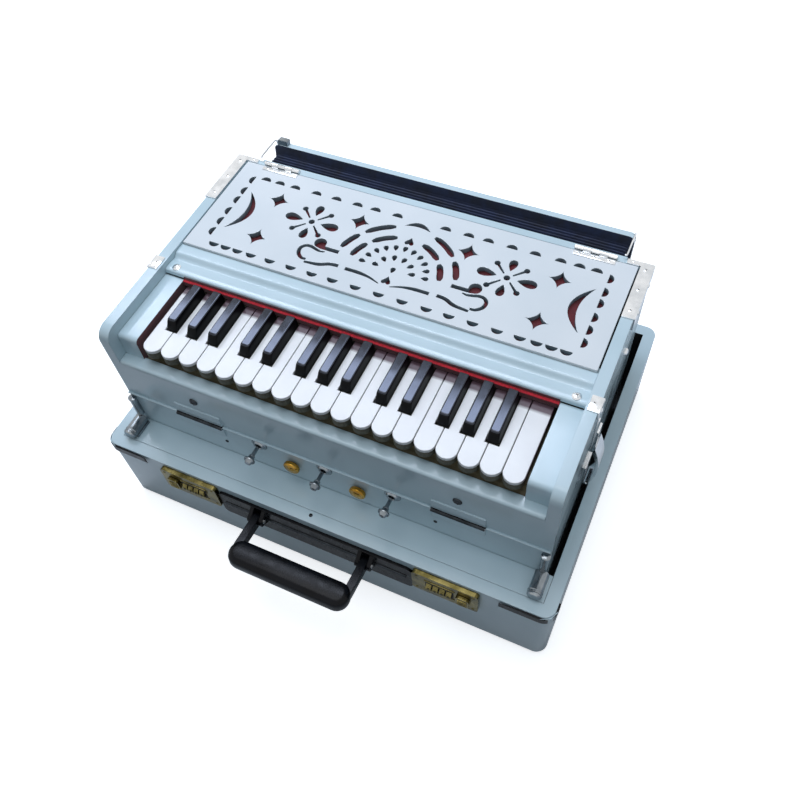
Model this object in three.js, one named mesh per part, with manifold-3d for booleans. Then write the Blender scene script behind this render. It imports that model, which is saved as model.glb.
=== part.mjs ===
import * as THREE from 'three';
import { mergeVertices } from 'three/addons/utils/BufferGeometryUtils.js';
import Module from 'manifold-3d';

// Indian harmonium standing in the lower half of its carrying case, with the bellows partly open.
// Millimetres. X runs to the player's right, Y away from the player, Z up.
// The origin is the middle of the case's underside.

const wasm = await Module();
wasm.setup();

// Clearances
const gap = 0.3; // between neighbouring pieces
const runningGap = 0.5; // round shanks and bolts that slide
const overrun = 1; // how far cutters and joints run past a face

// Keyboard
const octavePattern = [1, 1, 1, 0, 1, 1, 0]; // 1 where a sharp follows the white key, from F
const sharpShiftShares = [-0.146, 0, 0.146, 0, -0.098, 0.098, 0]; // sharps' shifts as shares of the pitch
const whiteCount = 19;
const whitePitch = 20.5;
const keyGap = 0.8;
const keyThickness = 12;
const keyLift = 13; // keys' underside over the reed board
const whiteSetback = 52; // key tips behind the tray's front face
const keyNose = 8; // depth of the round nose
const keyLength = 248;
const keyEndRoom = 9.3; // behind the keys' far ends
const keySideRoom = 3.75; // between the outer keys' pitch and the cheek blocks
const sharpStart = 30; // sharps' fronts behind the white keys' tips
const sharpSlope = 7; // how far its top is set back from its foot at the front
const sharpLength = 49;
const sharpHeight = 11;
const sharpWidth = 12;
const sharpTopWidth = 9.6;
const sharpRound = 2;
const pivotToEnd = 100;
const keyDip = 2.6; // degrees

// Case tray and its deck board
const trayHeight = 108;
const trayWall = 13;
const trayFloor = 8;
const trayCorner = 12; // radius of the upright corners
const trayEdge = 7; // rounding of the bottom edge
const backRoom = 51.5; // behind the lower case
const caseSideRoom = 19.5; // between the case's side and the tray's outer face
const deckThickness = 8;
const deckLedge = 10; // width of the ledge that carries the deck board

// Lower case, a chest with its wind board inside and the bellows' fixed panel at the back
const caseSetback = 42; // behind the tray's front face
const caseRise = 49; // its top over the tray's
const caseLip = 0.7; // how far it reaches behind the upper case
const caseWall = 12;
const windBoardRise = 10; // its underside over the tray's top
const windBoardThickness = 8;
const panelThickness = 5.5;
const panelDrop = 12; // its foot under the tray's top
const panelClear = 3.5; // its top under the upper case's

// Upper case
const wallThickness = 11.5;
const upperRise = 18.5; // its top over the white keys
const upperCorner = 14; // rounding of the walls' front top corner
const frontBoardThickness = 14;
const backBoardThickness = 5.5;

// Key slip and cheek blocks
const slipHeight = 4;
const slipRoom = 10; // under the keys
const slipEdge = 3;
const cheekWidth = 22;
const cheekRise = 6; // its top over the white keys
const cheekCorner = 5;

// Reed board and key action
const reedBoardRise = 55; // its top over the lower case's
const reedBoardThickness = 14;
const palletToEnd = 38; // from a pallet's front to the key's end
const palletLength = 30;
const palletSide = 1; // narrower than the key on each side
const toneHoleWidth = 6;
const toneHoleLength = 20;
const reedWidth = 8.4;
const reedLength = 34;
const reedThickness = 1.6;
const reedRowGap = 6;
const railWidth = 10;
const railRound = 3;
const stopRailStart = 14; // behind the white keys' tips
const stopRailWidth = 14;
const springWidth = 3;
const springThickness = 0.6;
const springReach = 22;
const springContact = 7; // from the pivot to the spring's tip
const springBend = 2; // inner width of its hairpin

// Front moulding and the felt under its nose
const mouldingRoom = 9.6; // behind the sharps
const mouldingLift = 2.2; // over the white keys
const mouldingNoseHeight = 5.8; // these three from the moulding's foot
const mouldingLedgeHeight = 8.3;
const mouldingHeight = 13.4;
const mouldingLedgeDepth = 17;
const mouldingCove = 12;
const mouldingDepth = 35.4; // from its front to the lid
const feltDepth = 7.5;
const feltHeight = 6.2;
const feltLift = 0.8; // over the white keys

// Lid board and its hinges
const lidThickness = 6;
const lidSideGap = 1.7;
const lidRebate = 8; // how far the moulding runs under the lid
const lidHingeInset = 63.8; // inner end of each lid hinge from the lid's side
const lidHingeLength = 42;
const lidAxisInset = 3.8; // in front of the upper case's back
const lidLeafDepth = 13;

// Fretwork of the lid. Motifs are drawn about their own middle and placed by shares of the lid:
// across from its middle to its side, and back from its front edge.
const moonLength = 11.5;
const moonDepth = 5.2;
const moonFrontShare = 0.083;
const moonBackShare = 0.842;
const moonSideShare = 0.9;
const frontMoonShares = [0.114, 0.229, 0.334, 0.443, 0.553, 0.654, 0.727, 0.791, 0.855];
const backMoonShares = [0.123, 0.238, 0.334, 0.448, 0.558, 0.676, 0.763, 0.841];
const sideMoonShares = [0.188, 0.308, 0.429, 0.564, 0.677, 0.812];
const rosetteShares = [0.489, 0.556];
const rosetteDot = 3.2;
const shortPetal = 15;
const shortPetalWidth = 8.5;
const shortPetalStart = 9.5;
const longPetal = 20;
const longPetalWidth = 10.5;
const longPetalStart = 10.5;
const pinLength = 15;
const pinStart = 6.5;
const pinWidth = 1.5;
const pinBall = 3;
const pinSweepShare = 0.85; // of a half turn, on each side of the ball
const dropSwellShare = 0.77; // a drop's greatest swell as a share of a full one
const starReach = 11;
const starShares = [[0.708, 0.677], [0.274, 0.692], [0.69, 0.256]];
const crescentHalf = 28.5;
const crescentDepth = 17.5;
const crescentInner = 9;
const crescentShares = [0.868, 0.47];
const fanShare = 0.293;
const fanBar = 6.5;
const fanOuter = 63.5;
const fanOuterTurns = [[70, 41], [35, 13]];
const fanMiddle = 48;
const fanMiddleTurns = [[73, 42], [35, 9]];
const fanInner = 34;
const fanInnerDrops = 11;
const fanCore = 20;
const fanCoreDrops = 6;
const dropLength = 7.5;
const dropWidth = 5;
const spadeLength = 12;
const spadeWidth = 9.5;
const spadePlaceShares = [0.21, 0.63];
const spadeOutlineShares = [[0, 1 / 2], [-1 / 4, 1 / 5], [-1 / 2, -1 / 6], [-1 / 4, -1 / 3],
  [0, -1 / 5], [1 / 4, -1 / 3], [1 / 2, -1 / 6], [1 / 4, 1 / 5]];
const chevronShare = 0.78;
const chevronHalf = 14;
const chevronDepth = 8;
const chevronInner = 2.5;
const caneShares = [0.279, 0.34];
const caneLength = 23;
const caneBar = 4.5;
const caneBall = 6.5;
const caneOffset = 5; // ball's middle behind the bar
const caneTurns = [-70, 165];
const scrollShares = [0.468, 0.252];
const scrollRadius = 9.5;
const scrollBar = 4;
const scrollTurns = [-125, 140];
const innerWaveShares = [0.117, 0.188];
const innerWave = [[-19.5, -3], [-8, 1], [5, 2.8], [19.5, 2.8]];
const innerWaveWidths = [0.8, 2.5, 4, 4];
const outerWaveShares = [0.322, 0.188];
const outerWave = [[-17.5, 3.6], [-8, 2.4], [2, -1.8], [17.5, -3.6]];
const outerWaveWidths = [4, 4, 4, 2.5];

// Butt hinges
const knuckleRadius = 2.2;
const leafThickness = 1.4;
const knuckles = 5;
const frontHingeInset = 117; // inner end of each front hinge from the case's side
const frontHingeLength = 54;
const frontLeafHeight = 16;

// Stops
const shankRadius = 2;
const airStopPlaces = [-74, 0, 74];
const airStopDrop = 8; // under the lower case's top
const airKnobRadius = 5.2;
const airKnobReach = 20; // knob's middle in front of the case when it is pulled out
const airSlideRoom = 4; // between the case's front wall and the slide when the stop is pulled out
const airSlideLength = 32;
const airSlideWidth = 30;
const airSlotWidth = 20;
const airSlotLength = 12;
const droneStopPlaces = [-37, 37];
const droneStopRise = 9; // over the wind board
const droneKnobRadius = 8.5;
const droneKnobLength = 7;
const droneSlideLength = 20;
const droneSlideWidth = 24;
const droneTravel = 12;
const slideHeadroom = 3; // stop slide's top over its shank's middle
const knobWaistShare = 0.6; // a knob's radius where its round begins
const knobShoulderShare = 0.8;

// Corner bolts and posts
const boltInset = 23.5; // from the tray's side
const boltRadius = 4;
const sleeveRadius = 7;
const sleeveSetback = 17;
const sleeveLength = 21;
const boltCapLength = 3;
const boltReach = 2; // bolt in front of its sleeve, up to the cap
const postRadius = 4;
const postDrop = 4; // its top under the lower case's
const postCapRadius = 4.6;
const postCapHeight = 3;

// Side draw latches
const latchSetback = 147;
const latchWidth = 20;
const latchDrop = 33; // base's foot under the lower case's top
const latchBaseHeight = 30;
const latchBaseThickness = 2;
const leverInset = 3; // lever's foot over the base's
const leverRise = 31; // lever's top over the lower case's
const leverBulge = 8.5;
const leverThickness = 3;
const loopReach = 26; // over the lever's top
const loopWidth = 12;
const loopThickness = 2;
const keeperClear = 4; // between the lever's top and the keeper
const keeperDrop = 8.5; // under the upper case's top
const keeperThickness = 1.6;
const keeperCorner = 3;

// Upper corner brackets, screws and strap buttons
const bracketThickness = 1.5;
const bracketLength = 72;
const bracketBack = 25;
const bracketFlange = 14;
const cupRadius = 4.5;
const cupHeight = 1.6;
const cupInset = 10.5;
const cupSetback = 8.4; // behind the moulding's front
const strapButtonRadius = 4;
const strapButtonInset = 64.8; // in front of the upper case's back
const strapButtonDrop = 55.5; // under the upper case's top

// Bellows
const boardInset = 26.4; // board's side from the case's side
const boardRise = 1.5; // its length over the height of the upper case's top
const boardThickness = 8;
const boardCorner = 6;
const boardLean = 9; // degrees, partly open
const hingeRise = 16; // hinge line over the fixed panel's foot
const hingeClear = 1.5; // hinge line behind the fixed panel
const clothInset = 5;
const clothFold = 7; // depth of a fold
const clothFolds = 3;
const catchWidth = 12;
const catchHeight = 6;
const catchInset = 4;

// Wind reservoir under the wind board
const reservoirSideRoom = 36; // from the case's side
const reservoirEndRoom = 43.5; // shorter than the case in all
const reservoirThickness = 7;
const reservoirDrop = 12; // from the wind board to the reservoir board at rest
const reservoirFold = 4;
const reservoirFolds = 2;

// Combination locks on the tray's front
const lockInset = 70.5; // lock's outer end from the tray's side
const lockHeight = 37;
const lockDrop = 4; // its top under the tray's
const lockThickness = 5;
const lockCorner = 4;
const dialRadius = 7;
const dialWidth = 5.5;
const dialPitch = 7;
const dialCount = 4;
const dialStart = 16; // first dial from the lock's inner end
const sliderRoom = 4.5; // from the last dial
const sliderWidth = 14;
const sliderHeight = 17;
const sliderThickness = 3.4;
const sliderEnd = 8; // slider from the lock's outer end

// Handle plate, handle and corner trims
const plateEndGap = 1; // between the plate and each lock
const plateHeight = 41;
const plateDrop = 10; // its top under the tray's
const plateThickness = 3;
const plateCorner = 6;
const beadDrop = 17.5; // under the plate's top
const beadRadius = 1.5;
const earThickness = 4;
const earGrip = 9; // clear width between a pair of ears
const earReach = 11;
const earRadius = 6;
const pivotReach = 9; // handle's pivot in front of the tray
const pivotDrop = 12; // under the plate's top
const armInset = 5; // arm's middle from the grip's end
const armLength = 43;
const armThickness = 8;
const armHeight = 11;
const gripLength = 134;
const gripDepth = 27;
const gripHeight = 19;
const gripLift = 6; // degrees
const trimLength = 51.5; // along the front, from the tray's side
const trimHeight = 9;
const trimDrop = 2; // its top under the tray's
const trimThickness = 2;
const trimWrap = 20;

// Derived heights
const degree = Math.PI / 180;
const deckBottom = trayHeight - deckThickness;
const caseFoot = trayFloor + gap;
const caseTop = trayHeight + caseRise;
const windBoardHeight = trayHeight + windBoardRise;
const windTop = windBoardHeight + windBoardThickness;
const upperFoot = caseTop + gap;
const reedBoardTop = caseTop + reedBoardRise;
const keyBottom = reedBoardTop + keyLift;
const whiteTop = keyBottom + keyThickness;
const slipTop = keyBottom - slipRoom;
const frontBoardTop = slipTop - slipHeight;
const cheekTop = whiteTop + cheekRise;
const mouldingFoot = whiteTop + mouldingLift;
const mouldingNose = mouldingFoot + mouldingNoseHeight;
const mouldingLedge = mouldingFoot + mouldingLedgeHeight;
const mouldingTop = mouldingFoot + mouldingHeight;
const upperTop = whiteTop + upperRise;
const panelFoot = trayHeight - panelDrop;
const panelTop = upperTop - panelClear;
const hingeHeight = panelFoot + hingeRise;
const boardHeight = upperTop + boardRise - hingeHeight;
const airStopHeight = caseTop - airStopDrop;
const droneStopHeight = windTop + droneStopRise;
const boltHeight = trayHeight + gap + sleeveRadius;
const postTop = caseTop - postDrop;
const latchFoot = caseTop - latchDrop;
const leverFoot = latchFoot + leverInset;
const leverTop = caseTop + leverRise;
const loopTop = leverTop + loopReach;
const keeperFoot = leverTop + keeperClear;
const keeperTop = upperTop - keeperDrop;
const strapButtonHeight = upperTop - strapButtonDrop;
const lidAxisZ = upperTop + gap + knuckleRadius;
const frontAxisZ = caseTop;
const lockFoot = trayHeight - lockDrop - lockHeight;
const plateTop = trayHeight - plateDrop;
const plateFoot = plateTop - plateHeight;
const beadPlace = plateTop - beadDrop;
const pivotHeight = plateTop - pivotDrop;
const trimTop = trayHeight - trimDrop;
const trimFoot = trimTop - trimHeight;

// Derived widths, from the middle
const keyboardWidth = whiteCount * whitePitch;
const caseHalf = keyboardWidth / 2 + keySideRoom + cheekWidth + wallThickness;
const upperHalfInside = caseHalf - wallThickness;
const trayHalf = caseHalf + caseSideRoom;
const lidHalf = upperHalfInside - lidSideGap;
const lidHingeIn = lidHalf - lidHingeInset;
const frontHingeIn = caseHalf - frontHingeInset;
const boltX = trayHalf - boltInset;
const boardHalf = caseHalf - boardInset;
const reservoirHalf = caseHalf - reservoirSideRoom;
const dialRowLength = (dialCount - 1) * dialPitch + dialWidth;
const lockLength = dialStart + dialRowLength + sliderRoom + sliderWidth + sliderEnd;
const lockIn = trayHalf - lockInset - lockLength;
const plateHalf = lockIn - plateEndGap;
const armPlace = gripLength / 2 - armInset;
const trimIn = trayHalf - trimLength;

// Derived depths, from the middle of the tray
const upperDepth = whiteSetback + keyLength + keyEndRoom + backBoardThickness - caseSetback;
const caseDepth = upperDepth + caseLip;
const trayDepth = caseSetback + caseDepth + backRoom;
const trayFront = -trayDepth / 2;
const caseFront = trayFront + caseSetback;
const caseBack = caseFront + caseDepth;
const upperBack = caseFront + upperDepth;
const frontBoardBack = caseFront + frontBoardThickness;
const whiteTip = trayFront + whiteSetback;
const keyEnd = whiteTip + keyLength;
const pivotY = keyEnd - pivotToEnd;
const palletFront = keyEnd - palletToEnd;
const sharpFront = whiteTip + sharpStart;
const mouldingFront = sharpFront + sharpLength + mouldingRoom;
const lidFront = mouldingFront + mouldingDepth;
const lidBack = upperBack - backBoardThickness - gap;
const lidDepth = lidBack - lidFront;
const lidAxisY = upperBack - lidAxisInset;
const frontAxisY = caseFront - gap - knuckleRadius;
const hingeY = caseBack + panelThickness + hingeClear;
const reservoirDepth = caseDepth - reservoirEndRoom;
const latchY = trayFront + latchSetback;

// Surfaces
const laminate = { color: 0xb9c2d0, roughness: 0.22, metalness: 0 };
const chrome = { color: 0xd8dce2, roughness: 0.12, metalness: 1 };
const brass = { color: 0xc9973c, roughness: 0.3, metalness: 1 };
const gold = { color: 0xd9b45a, roughness: 0.28, metalness: 1 };
const blackPlastic = { color: 0x17181b, roughness: 0.4, metalness: 0 };
const ivory = { color: 0xf1f2ee, roughness: 0.25, metalness: 0 };
const ebony = { color: 0x0c0d10, roughness: 0.2, metalness: 0 };
const wood = { color: 0xa77f4e, roughness: 0.6, metalness: 0 };
const navyCloth = { color: 0x151b33, roughness: 0.9, metalness: 0 };

const harmonium = new THREE.Group();

// Adds a named piece to a group, or to the harmonium itself.
function addPiece(name, geometry, surface, parent = harmonium) {
  const mesh = new THREE.Mesh(geometry, new THREE.MeshStandardMaterial(surface));
  mesh.name = name;
  parent.add(mesh);
}

// A three.js geometry as a solid for joining and cutting.
function toSolid(geometry) {
  const bare = new THREE.BufferGeometry();
  bare.setAttribute('position', geometry.getAttribute('position').clone());
  if (geometry.index) bare.setIndex(geometry.index.clone());
  const merged = mergeVertices(bare, gap / 1000);
  const mesh = new wasm.Mesh({
    numProp: 3,
    vertProperties: new Float32Array(merged.getAttribute('position').array),
    triVerts: new Uint32Array(merged.index.array),
  });
  mesh.merge();
  return new wasm.Manifold(mesh);
}

// A solid as a flat-shaded three.js geometry.
function fromSolid(solid) {
  const mesh = solid.getMesh();
  const geometry = new THREE.BufferGeometry();
  const places = new Float32Array(mesh.vertProperties);
  geometry.setAttribute('position', new THREE.BufferAttribute(places, 3));
  geometry.setIndex(new THREE.BufferAttribute(new Uint32Array(mesh.triVerts), 1));
  const flat = geometry.toNonIndexed();
  flat.computeVertexNormals();
  return flat;
}

// Joins overlapping geometries into one and cuts the others out of it.
function shaped(joined, cutters = []) {
  let solid = toSolid(joined[0]);
  for (const geometry of joined.slice(1)) {
    solid = solid.add(toSolid(geometry));
  }
  for (const geometry of cutters) {
    solid = solid.subtract(toSolid(geometry));
  }
  return fromSolid(solid);
}

function mirrored(geometry) {
  const flat = geometry.index ? geometry.toNonIndexed() : geometry.clone();
  flat.scale(-1, 1, 1);
  const places = flat.getAttribute('position');
  for (let corner = 0; corner < places.count; corner += 3) {
    for (const axis of ['X', 'Y', 'Z']) {
      const first = places[`get${axis}`](corner + 1);
      places[`set${axis}`](corner + 1, places[`get${axis}`](corner + 2));
      places[`set${axis}`](corner + 2, first);
    }
  }
  flat.computeVertexNormals();
  return flat;
}

// A geometry and its mirror image on the left.
function pair(geometry) {
  return [geometry, mirrored(geometry)];
}

function block(x0, x1, y0, y1, z0, z1) {
  const geometry = new THREE.BoxGeometry(x1 - x0, y1 - y0, z1 - z0);
  return geometry.translate((x0 + x1) / 2, (y0 + y1) / 2, (z0 + z1) / 2);
}

function extruded(shape, depth, curveSegments) {
  return new THREE.ExtrudeGeometry(shape, { depth, curveSegments, bevelEnabled: false });
}

const xAxis = new THREE.Vector3(1, 0, 0);
const yAxis = new THREE.Vector3(0, 1, 0);
const zAxis = new THREE.Vector3(0, 0, 1);

// An outline in the XY plane, raised from z0 to z1.
function prismZ(shape, z0, z1, curveSegments = 6) {
  return extruded(shape, z1 - z0, curveSegments).translate(0, 0, z0);
}

// An outline given as (y, z), drawn out from x0 to x1.
function prismX(shape, x0, x1, curveSegments = 6) {
  const turn = new THREE.Matrix4().makeBasis(yAxis, zAxis, xAxis);
  return extruded(shape, x1 - x0, curveSegments).applyMatrix4(turn).translate(x0, 0, 0);
}

// An outline given as (x, z), drawn out from y0 to y1.
function prismY(shape, y0, y1, curveSegments = 6) {
  const turn = new THREE.Matrix4().makeBasis(xAxis, zAxis, yAxis.clone().negate());
  return extruded(shape, y1 - y0, curveSegments).applyMatrix4(turn).translate(0, y1, 0);
}

// A body turned about an axis through a place, from (radius, distance) pairs.
function turned(profile, axis, x, y, z, sides = 16) {
  const points = profile.map(([radius, along]) => new THREE.Vector2(radius, along));
  const geometry = new THREE.LatheGeometry(points, sides);
  const turn = new THREE.Quaternion().setFromUnitVectors(yAxis, axis);
  return geometry.applyQuaternion(turn).translate(x, y, z);
}

function rod(radius, length, axis, x, y, z, sides = 16) {
  return turned([[0, 0], [radius, 0], [radius, length], [0, length]], axis, x, y, z, sides);
}

// A rectangle with round corners between two corners of it.
function roundedRectangle(x0, x1, y0, y1, radius) {
  const shape = new THREE.Shape();
  shape.absarc(x1 - radius, y0 + radius, radius, -Math.PI / 2, 0);
  shape.absarc(x1 - radius, y1 - radius, radius, 0, Math.PI / 2);
  shape.absarc(x0 + radius, y1 - radius, radius, Math.PI / 2, Math.PI);
  shape.absarc(x0 + radius, y0 + radius, radius, Math.PI, 1.5 * Math.PI);
  shape.closePath();
  return shape;
}

function outline(points) {
  return new THREE.Shape(points.map(([u, v]) => new THREE.Vector2(u, v)));
}

// Tray: a round-edged shell with a rebate at the front that carries the deck board.
function trayShell() {
  const half = trayHalf - trayEdge;
  const back = -trayFront - trayEdge;
  const plan = roundedRectangle(-half, half, -back, back, trayCorner - trayEdge);
  const outer = new THREE.ExtrudeGeometry(plan, {
    depth: trayHeight,
    curveSegments: 4,
    bevelThickness: trayEdge,
    bevelSize: trayEdge,
    bevelSegments: 3,
  });
  outer.translate(0, 0, trayEdge);
  const inside = trayHalf - trayWall;
  const room = block(-inside, inside, trayFront + trayWall + deckLedge, -trayFront - trayWall,
    trayFloor, trayHeight + overrun);
  const rebate = block(-inside, inside, trayFront + trayWall, caseFront, deckBottom,
    trayHeight + overrun);
  const over = block(-trayHalf * 2, trayHalf * 2, -trayDepth, trayDepth, trayHeight, trayHeight * 2);
  return shaped([outer, ...pair(cornerTrim())], [room, rebate, over]);
}

function deckBoard() {
  const half = trayHalf - trayWall - gap;
  const board = block(-half, half, trayFront + trayWall + gap, caseFront - gap, deckBottom + gap,
    trayHeight);
  const front = trayFront + sleeveSetback;
  const sleeve = rod(sleeveRadius, sleeveLength, yAxis, boltX, front, boltHeight, 14);
  const foot = block(boltX - sleeveRadius, boltX + sleeveRadius, front, front + sleeveLength,
    trayHeight - overrun, trayHeight + sleeveRadius / 2);
  const hole = rod(boltRadius + runningGap, sleeveLength + overrun * 2, yAxis, boltX,
    front - overrun, boltHeight, 14);
  return shaped([board, ...pair(sleeve), ...pair(foot)], pair(hole));
}

// Handle plate with its bead and the two pairs of ears.
function handlePlate() {
  const plateShape = roundedRectangle(-plateHalf, plateHalf, plateFoot, plateTop, plateCorner);
  const face = trayFront - gap;
  const plate = prismY(plateShape, face - plateThickness, face, 2);
  const bead = rod(beadRadius, plateHalf * 2 - plateCorner * 2, xAxis, plateCorner - plateHalf,
    face - plateThickness, beadPlace, 8);
  const joined = [plate, bead];
  for (const side of [-1, 1]) {
    for (const cheek of [-1, 1]) {
      const middle = side * armPlace + cheek * (earGrip + earThickness) / 2;
      joined.push(ear(middle));
    }
  }
  return shaped(joined);
}

function ear(middle) {
  const pivot = trayFront - pivotReach;
  const shape = new THREE.Shape();
  shape.moveTo(trayFront - plateThickness, pivotHeight - earReach);
  shape.lineTo(trayFront - plateThickness, pivotHeight + earReach);
  shape.absarc(pivot, pivotHeight, earRadius, Math.PI / 2, 1.5 * Math.PI);
  shape.closePath();
  return prismX(shape, middle - earThickness / 2, middle + earThickness / 2, 4);
}

// Trim round a front corner of the tray, let into its wall.
function cornerTrim() {
  const inner = trayCorner - overrun;
  const middleX = trayHalf - trayCorner;
  const middleY = trayFront + trayCorner;
  const shape = new THREE.Shape();
  shape.moveTo(trimIn, trayFront + overrun);
  shape.absarc(middleX, middleY, inner, -Math.PI / 2, 0);
  shape.lineTo(middleX + inner, trayFront + trimWrap);
  shape.lineTo(trayHalf + trimThickness, trayFront + trimWrap);
  shape.absarc(middleX, middleY, trayCorner + trimThickness, 0, -Math.PI / 2, true);
  shape.lineTo(trimIn, trayFront - trimThickness);
  shape.closePath();
  return prismZ(shape, trimFoot, trimTop, 4);
}

// One combination lock: a plate with a row of dials and a shallow track for its slider.
function lockBody() {
  const face = trayFront - gap;
  const shape = roundedRectangle(lockIn, lockIn + lockLength, lockFoot, lockFoot + lockHeight,
    lockCorner);
  const joined = [prismY(shape, face - lockThickness, face, 3)];
  const middle = lockFoot + lockHeight / 2;
  for (let dial = 0; dial < dialCount; dial += 1) {
    const start = lockIn + dialStart + dial * dialPitch;
    joined.push(rod(dialRadius, dialWidth, xAxis, start, face - lockThickness + dialRadius / 2,
      middle, 10));
  }
  const over = block(lockIn, lockIn + lockLength, face, face + trayWall, lockFoot,
    lockFoot + lockHeight);
  return shaped(joined, [over]);
}

function lockSlider() {
  const outer = lockIn + lockLength - sliderEnd;
  const middle = lockFoot + lockHeight / 2;
  const face = trayFront - gap * 2 - lockThickness;
  const shape = roundedRectangle(outer - sliderWidth, outer, middle - sliderHeight / 2,
    middle + sliderHeight / 2, sliderThickness);
  return prismY(shape, face - sliderThickness, face, 4);
}

// Carrying handle about its pivot: two arms and a thick moulded grip.
function carryHandle() {
  const inner = armLength - gripDepth / 2;
  const joined = [];
  for (const side of [-1, 1]) {
    const arm = roundedRectangle(-inner - armHeight, armHeight / 2, -armHeight / 2, armHeight / 2,
      armHeight / 2 - gap);
    const middle = side * armPlace;
    joined.push(prismX(arm, middle - armThickness / 2, middle + armThickness / 2, 4));
  }
  const half = gripLength / 2;
  const gripPlan = roundedRectangle(-half, half, -inner - gripDepth, -inner, gripDepth / 2 - gap);
  const edge = gripHeight / 3;
  const grip = new THREE.ExtrudeGeometry(gripPlan, {
    depth: gripHeight - edge * 2,
    curveSegments: 5,
    bevelThickness: edge,
    bevelSize: edge,
    bevelOffset: -edge,
    bevelSegments: 3,
  });
  joined.push(grip.translate(0, 0, edge - gripHeight / 2));
  return shaped(joined);
}

// Lower case: an open chest, its wind board with three slots, and the bellows' fixed panel.
function lowerCase() {
  const inside = caseHalf - caseWall;
  const front = caseFront + caseWall;
  const back = caseBack - caseWall;
  const outer = block(-caseHalf, caseHalf, caseFront, caseBack, caseFoot, caseTop);
  const panel = block(-boardHalf, boardHalf, caseBack, caseBack + panelThickness, panelFoot, panelTop);
  const joint = block(-boardHalf + overrun, boardHalf - overrun, caseBack - overrun,
    caseBack + overrun, panelFoot + overrun, caseTop - overrun);
  const cutters = [
    block(-inside, inside, front, back, windTop, caseTop + overrun),
    block(-inside, inside, front, back, caseFoot - overrun, windBoardHeight),
  ];
  for (const place of airStopPlaces) {
    const slot = airSlideRest() + airSlideLength;
    cutters.push(block(place - airSlotWidth / 2, place + airSlotWidth / 2, slot + gap,
      slot + gap + airSlotLength, windBoardHeight - overrun, windTop + overrun));
    cutters.push(shankHole(place, airStopHeight));
  }
  for (const place of droneStopPlaces) {
    cutters.push(shankHole(place, droneStopHeight));
  }
  const fittings = [frontLeaf(-1), cornerPost(), latchBase()].flatMap(pair);
  return shaped([outer, panel, joint, ...fittings], cutters);
}

function airSlideRest() {
  return caseFront + caseWall + airSlideRoom;
}

function shankHole(place, height) {
  return rod(shankRadius + runningGap, caseWall + overrun * 2, yAxis, place, caseFront - overrun,
    height, 12);
}

// A stop: knob, shank through the case wall, and the slide that lies on the wind board.
function stop(place, height, knob, slideFront, slideLength, slideWidth) {
  const shank = rod(shankRadius, slideFront + overrun - knob.back, yAxis, place, knob.back, height, 12);
  const slide = block(place - slideWidth / 2, place + slideWidth / 2, slideFront,
    slideFront + slideLength, windTop + gap, height + slideHeadroom);
  return shaped([knob.geometry, shank, slide]);
}

function airStop(place) {
  const middle = caseFront - airKnobReach;
  const ball = airKnobRadius;
  const waist = ball * knobWaistShare;
  const shoulder = ball * knobShoulderShare;
  const profile = [[0, -ball], [waist, -shoulder], [ball, 0], [waist, shoulder],
    [shankRadius, ball + shankRadius], [0, ball + shankRadius]];
  const geometry = turned(profile, yAxis, place, middle, airStopHeight, 12);
  const knob = { geometry, back: middle };
  return stop(place, airStopHeight, knob, airSlideRest(), airSlideLength, airSlideWidth);
}

function droneStop(place) {
  const back = caseFront - gap;
  const round = droneKnobLength / 3;
  const profile = [[0, -droneKnobLength], [droneKnobRadius * knobShoulderShare, -droneKnobLength],
    [droneKnobRadius, round - droneKnobLength], [droneKnobRadius, -round], [shankRadius * 2, 0], [0, 0]];
  const geometry = turned(profile, yAxis, place, back, droneStopHeight, 14);
  const knob = { geometry, back: back - round };
  const slideFront = caseFront + caseWall + droneTravel + overrun * 2;
  return stop(place, droneStopHeight, knob, slideFront, droneSlideLength, droneSlideWidth);
}

// Knuckles of one leaf along a hinge, every second one from a first place.
function knuckleRow(start, length, first, y, z) {
  const each = length / knuckles;
  const rows = [];
  for (let place = first; place < knuckles; place += 2) {
    rows.push(rod(knuckleRadius, each - gap, xAxis, start + place * each + gap / 2, y, z, 8));
  }
  return rows;
}

// Tabs that join the knuckles of a row to their leaf.
function tabRow(start, length, first, y0, y1, z0, z1) {
  const each = length / knuckles;
  const rows = [];
  for (let place = first; place < knuckles; place += 2) {
    const left = start + place * each + gap / 2;
    rows.push(block(left, left + each - gap, y0, y1, z0, z1));
  }
  return rows;
}

// One leaf of a front butt hinge, above or below the joint between the two cases.
function frontLeaf(upward) {
  const start = frontHingeIn;
  const near = frontAxisZ + upward * (knuckleRadius + gap);
  const far = frontAxisZ + upward * frontLeafHeight;
  const back = caseFront - gap;
  const front = back - leafThickness;
  const leaf = block(start, start + frontHingeLength, front, caseFront + overrun,
    Math.min(near, far), Math.max(near, far));
  const first = upward > 0 ? 1 : 0;
  const tabEnd = near + upward;
  return shaped([
    leaf,
    ...tabRow(start, frontHingeLength, first, front, back, Math.min(tabEnd, frontAxisZ),
      Math.max(tabEnd, frontAxisZ)),
    ...knuckleRow(start, frontHingeLength, first, frontAxisY, frontAxisZ),
  ]);
}

function cornerPost() {
  const foot = boltHeight + sleeveRadius + gap;
  const y = caseFront - postRadius + overrun;
  const neck = postTop - postCapHeight;
  const profile = [[0, foot], [postRadius, foot], [postRadius, neck], [postCapRadius, neck],
    [postCapRadius, postTop - overrun], [postRadius / 2, postTop], [0, postTop]];
  return turned(profile, zAxis, boltX, y, 0, 12);
}

// Base of a side latch on the lower case, with the two cheeks that hold the lever's pin.
function latchBase() {
  const y = latchY;
  const half = latchWidth / 2;
  return block(caseHalf - overrun, caseHalf + latchBaseThickness, y - half, y + half, latchFoot,
    latchFoot + latchBaseHeight);
}

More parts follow.
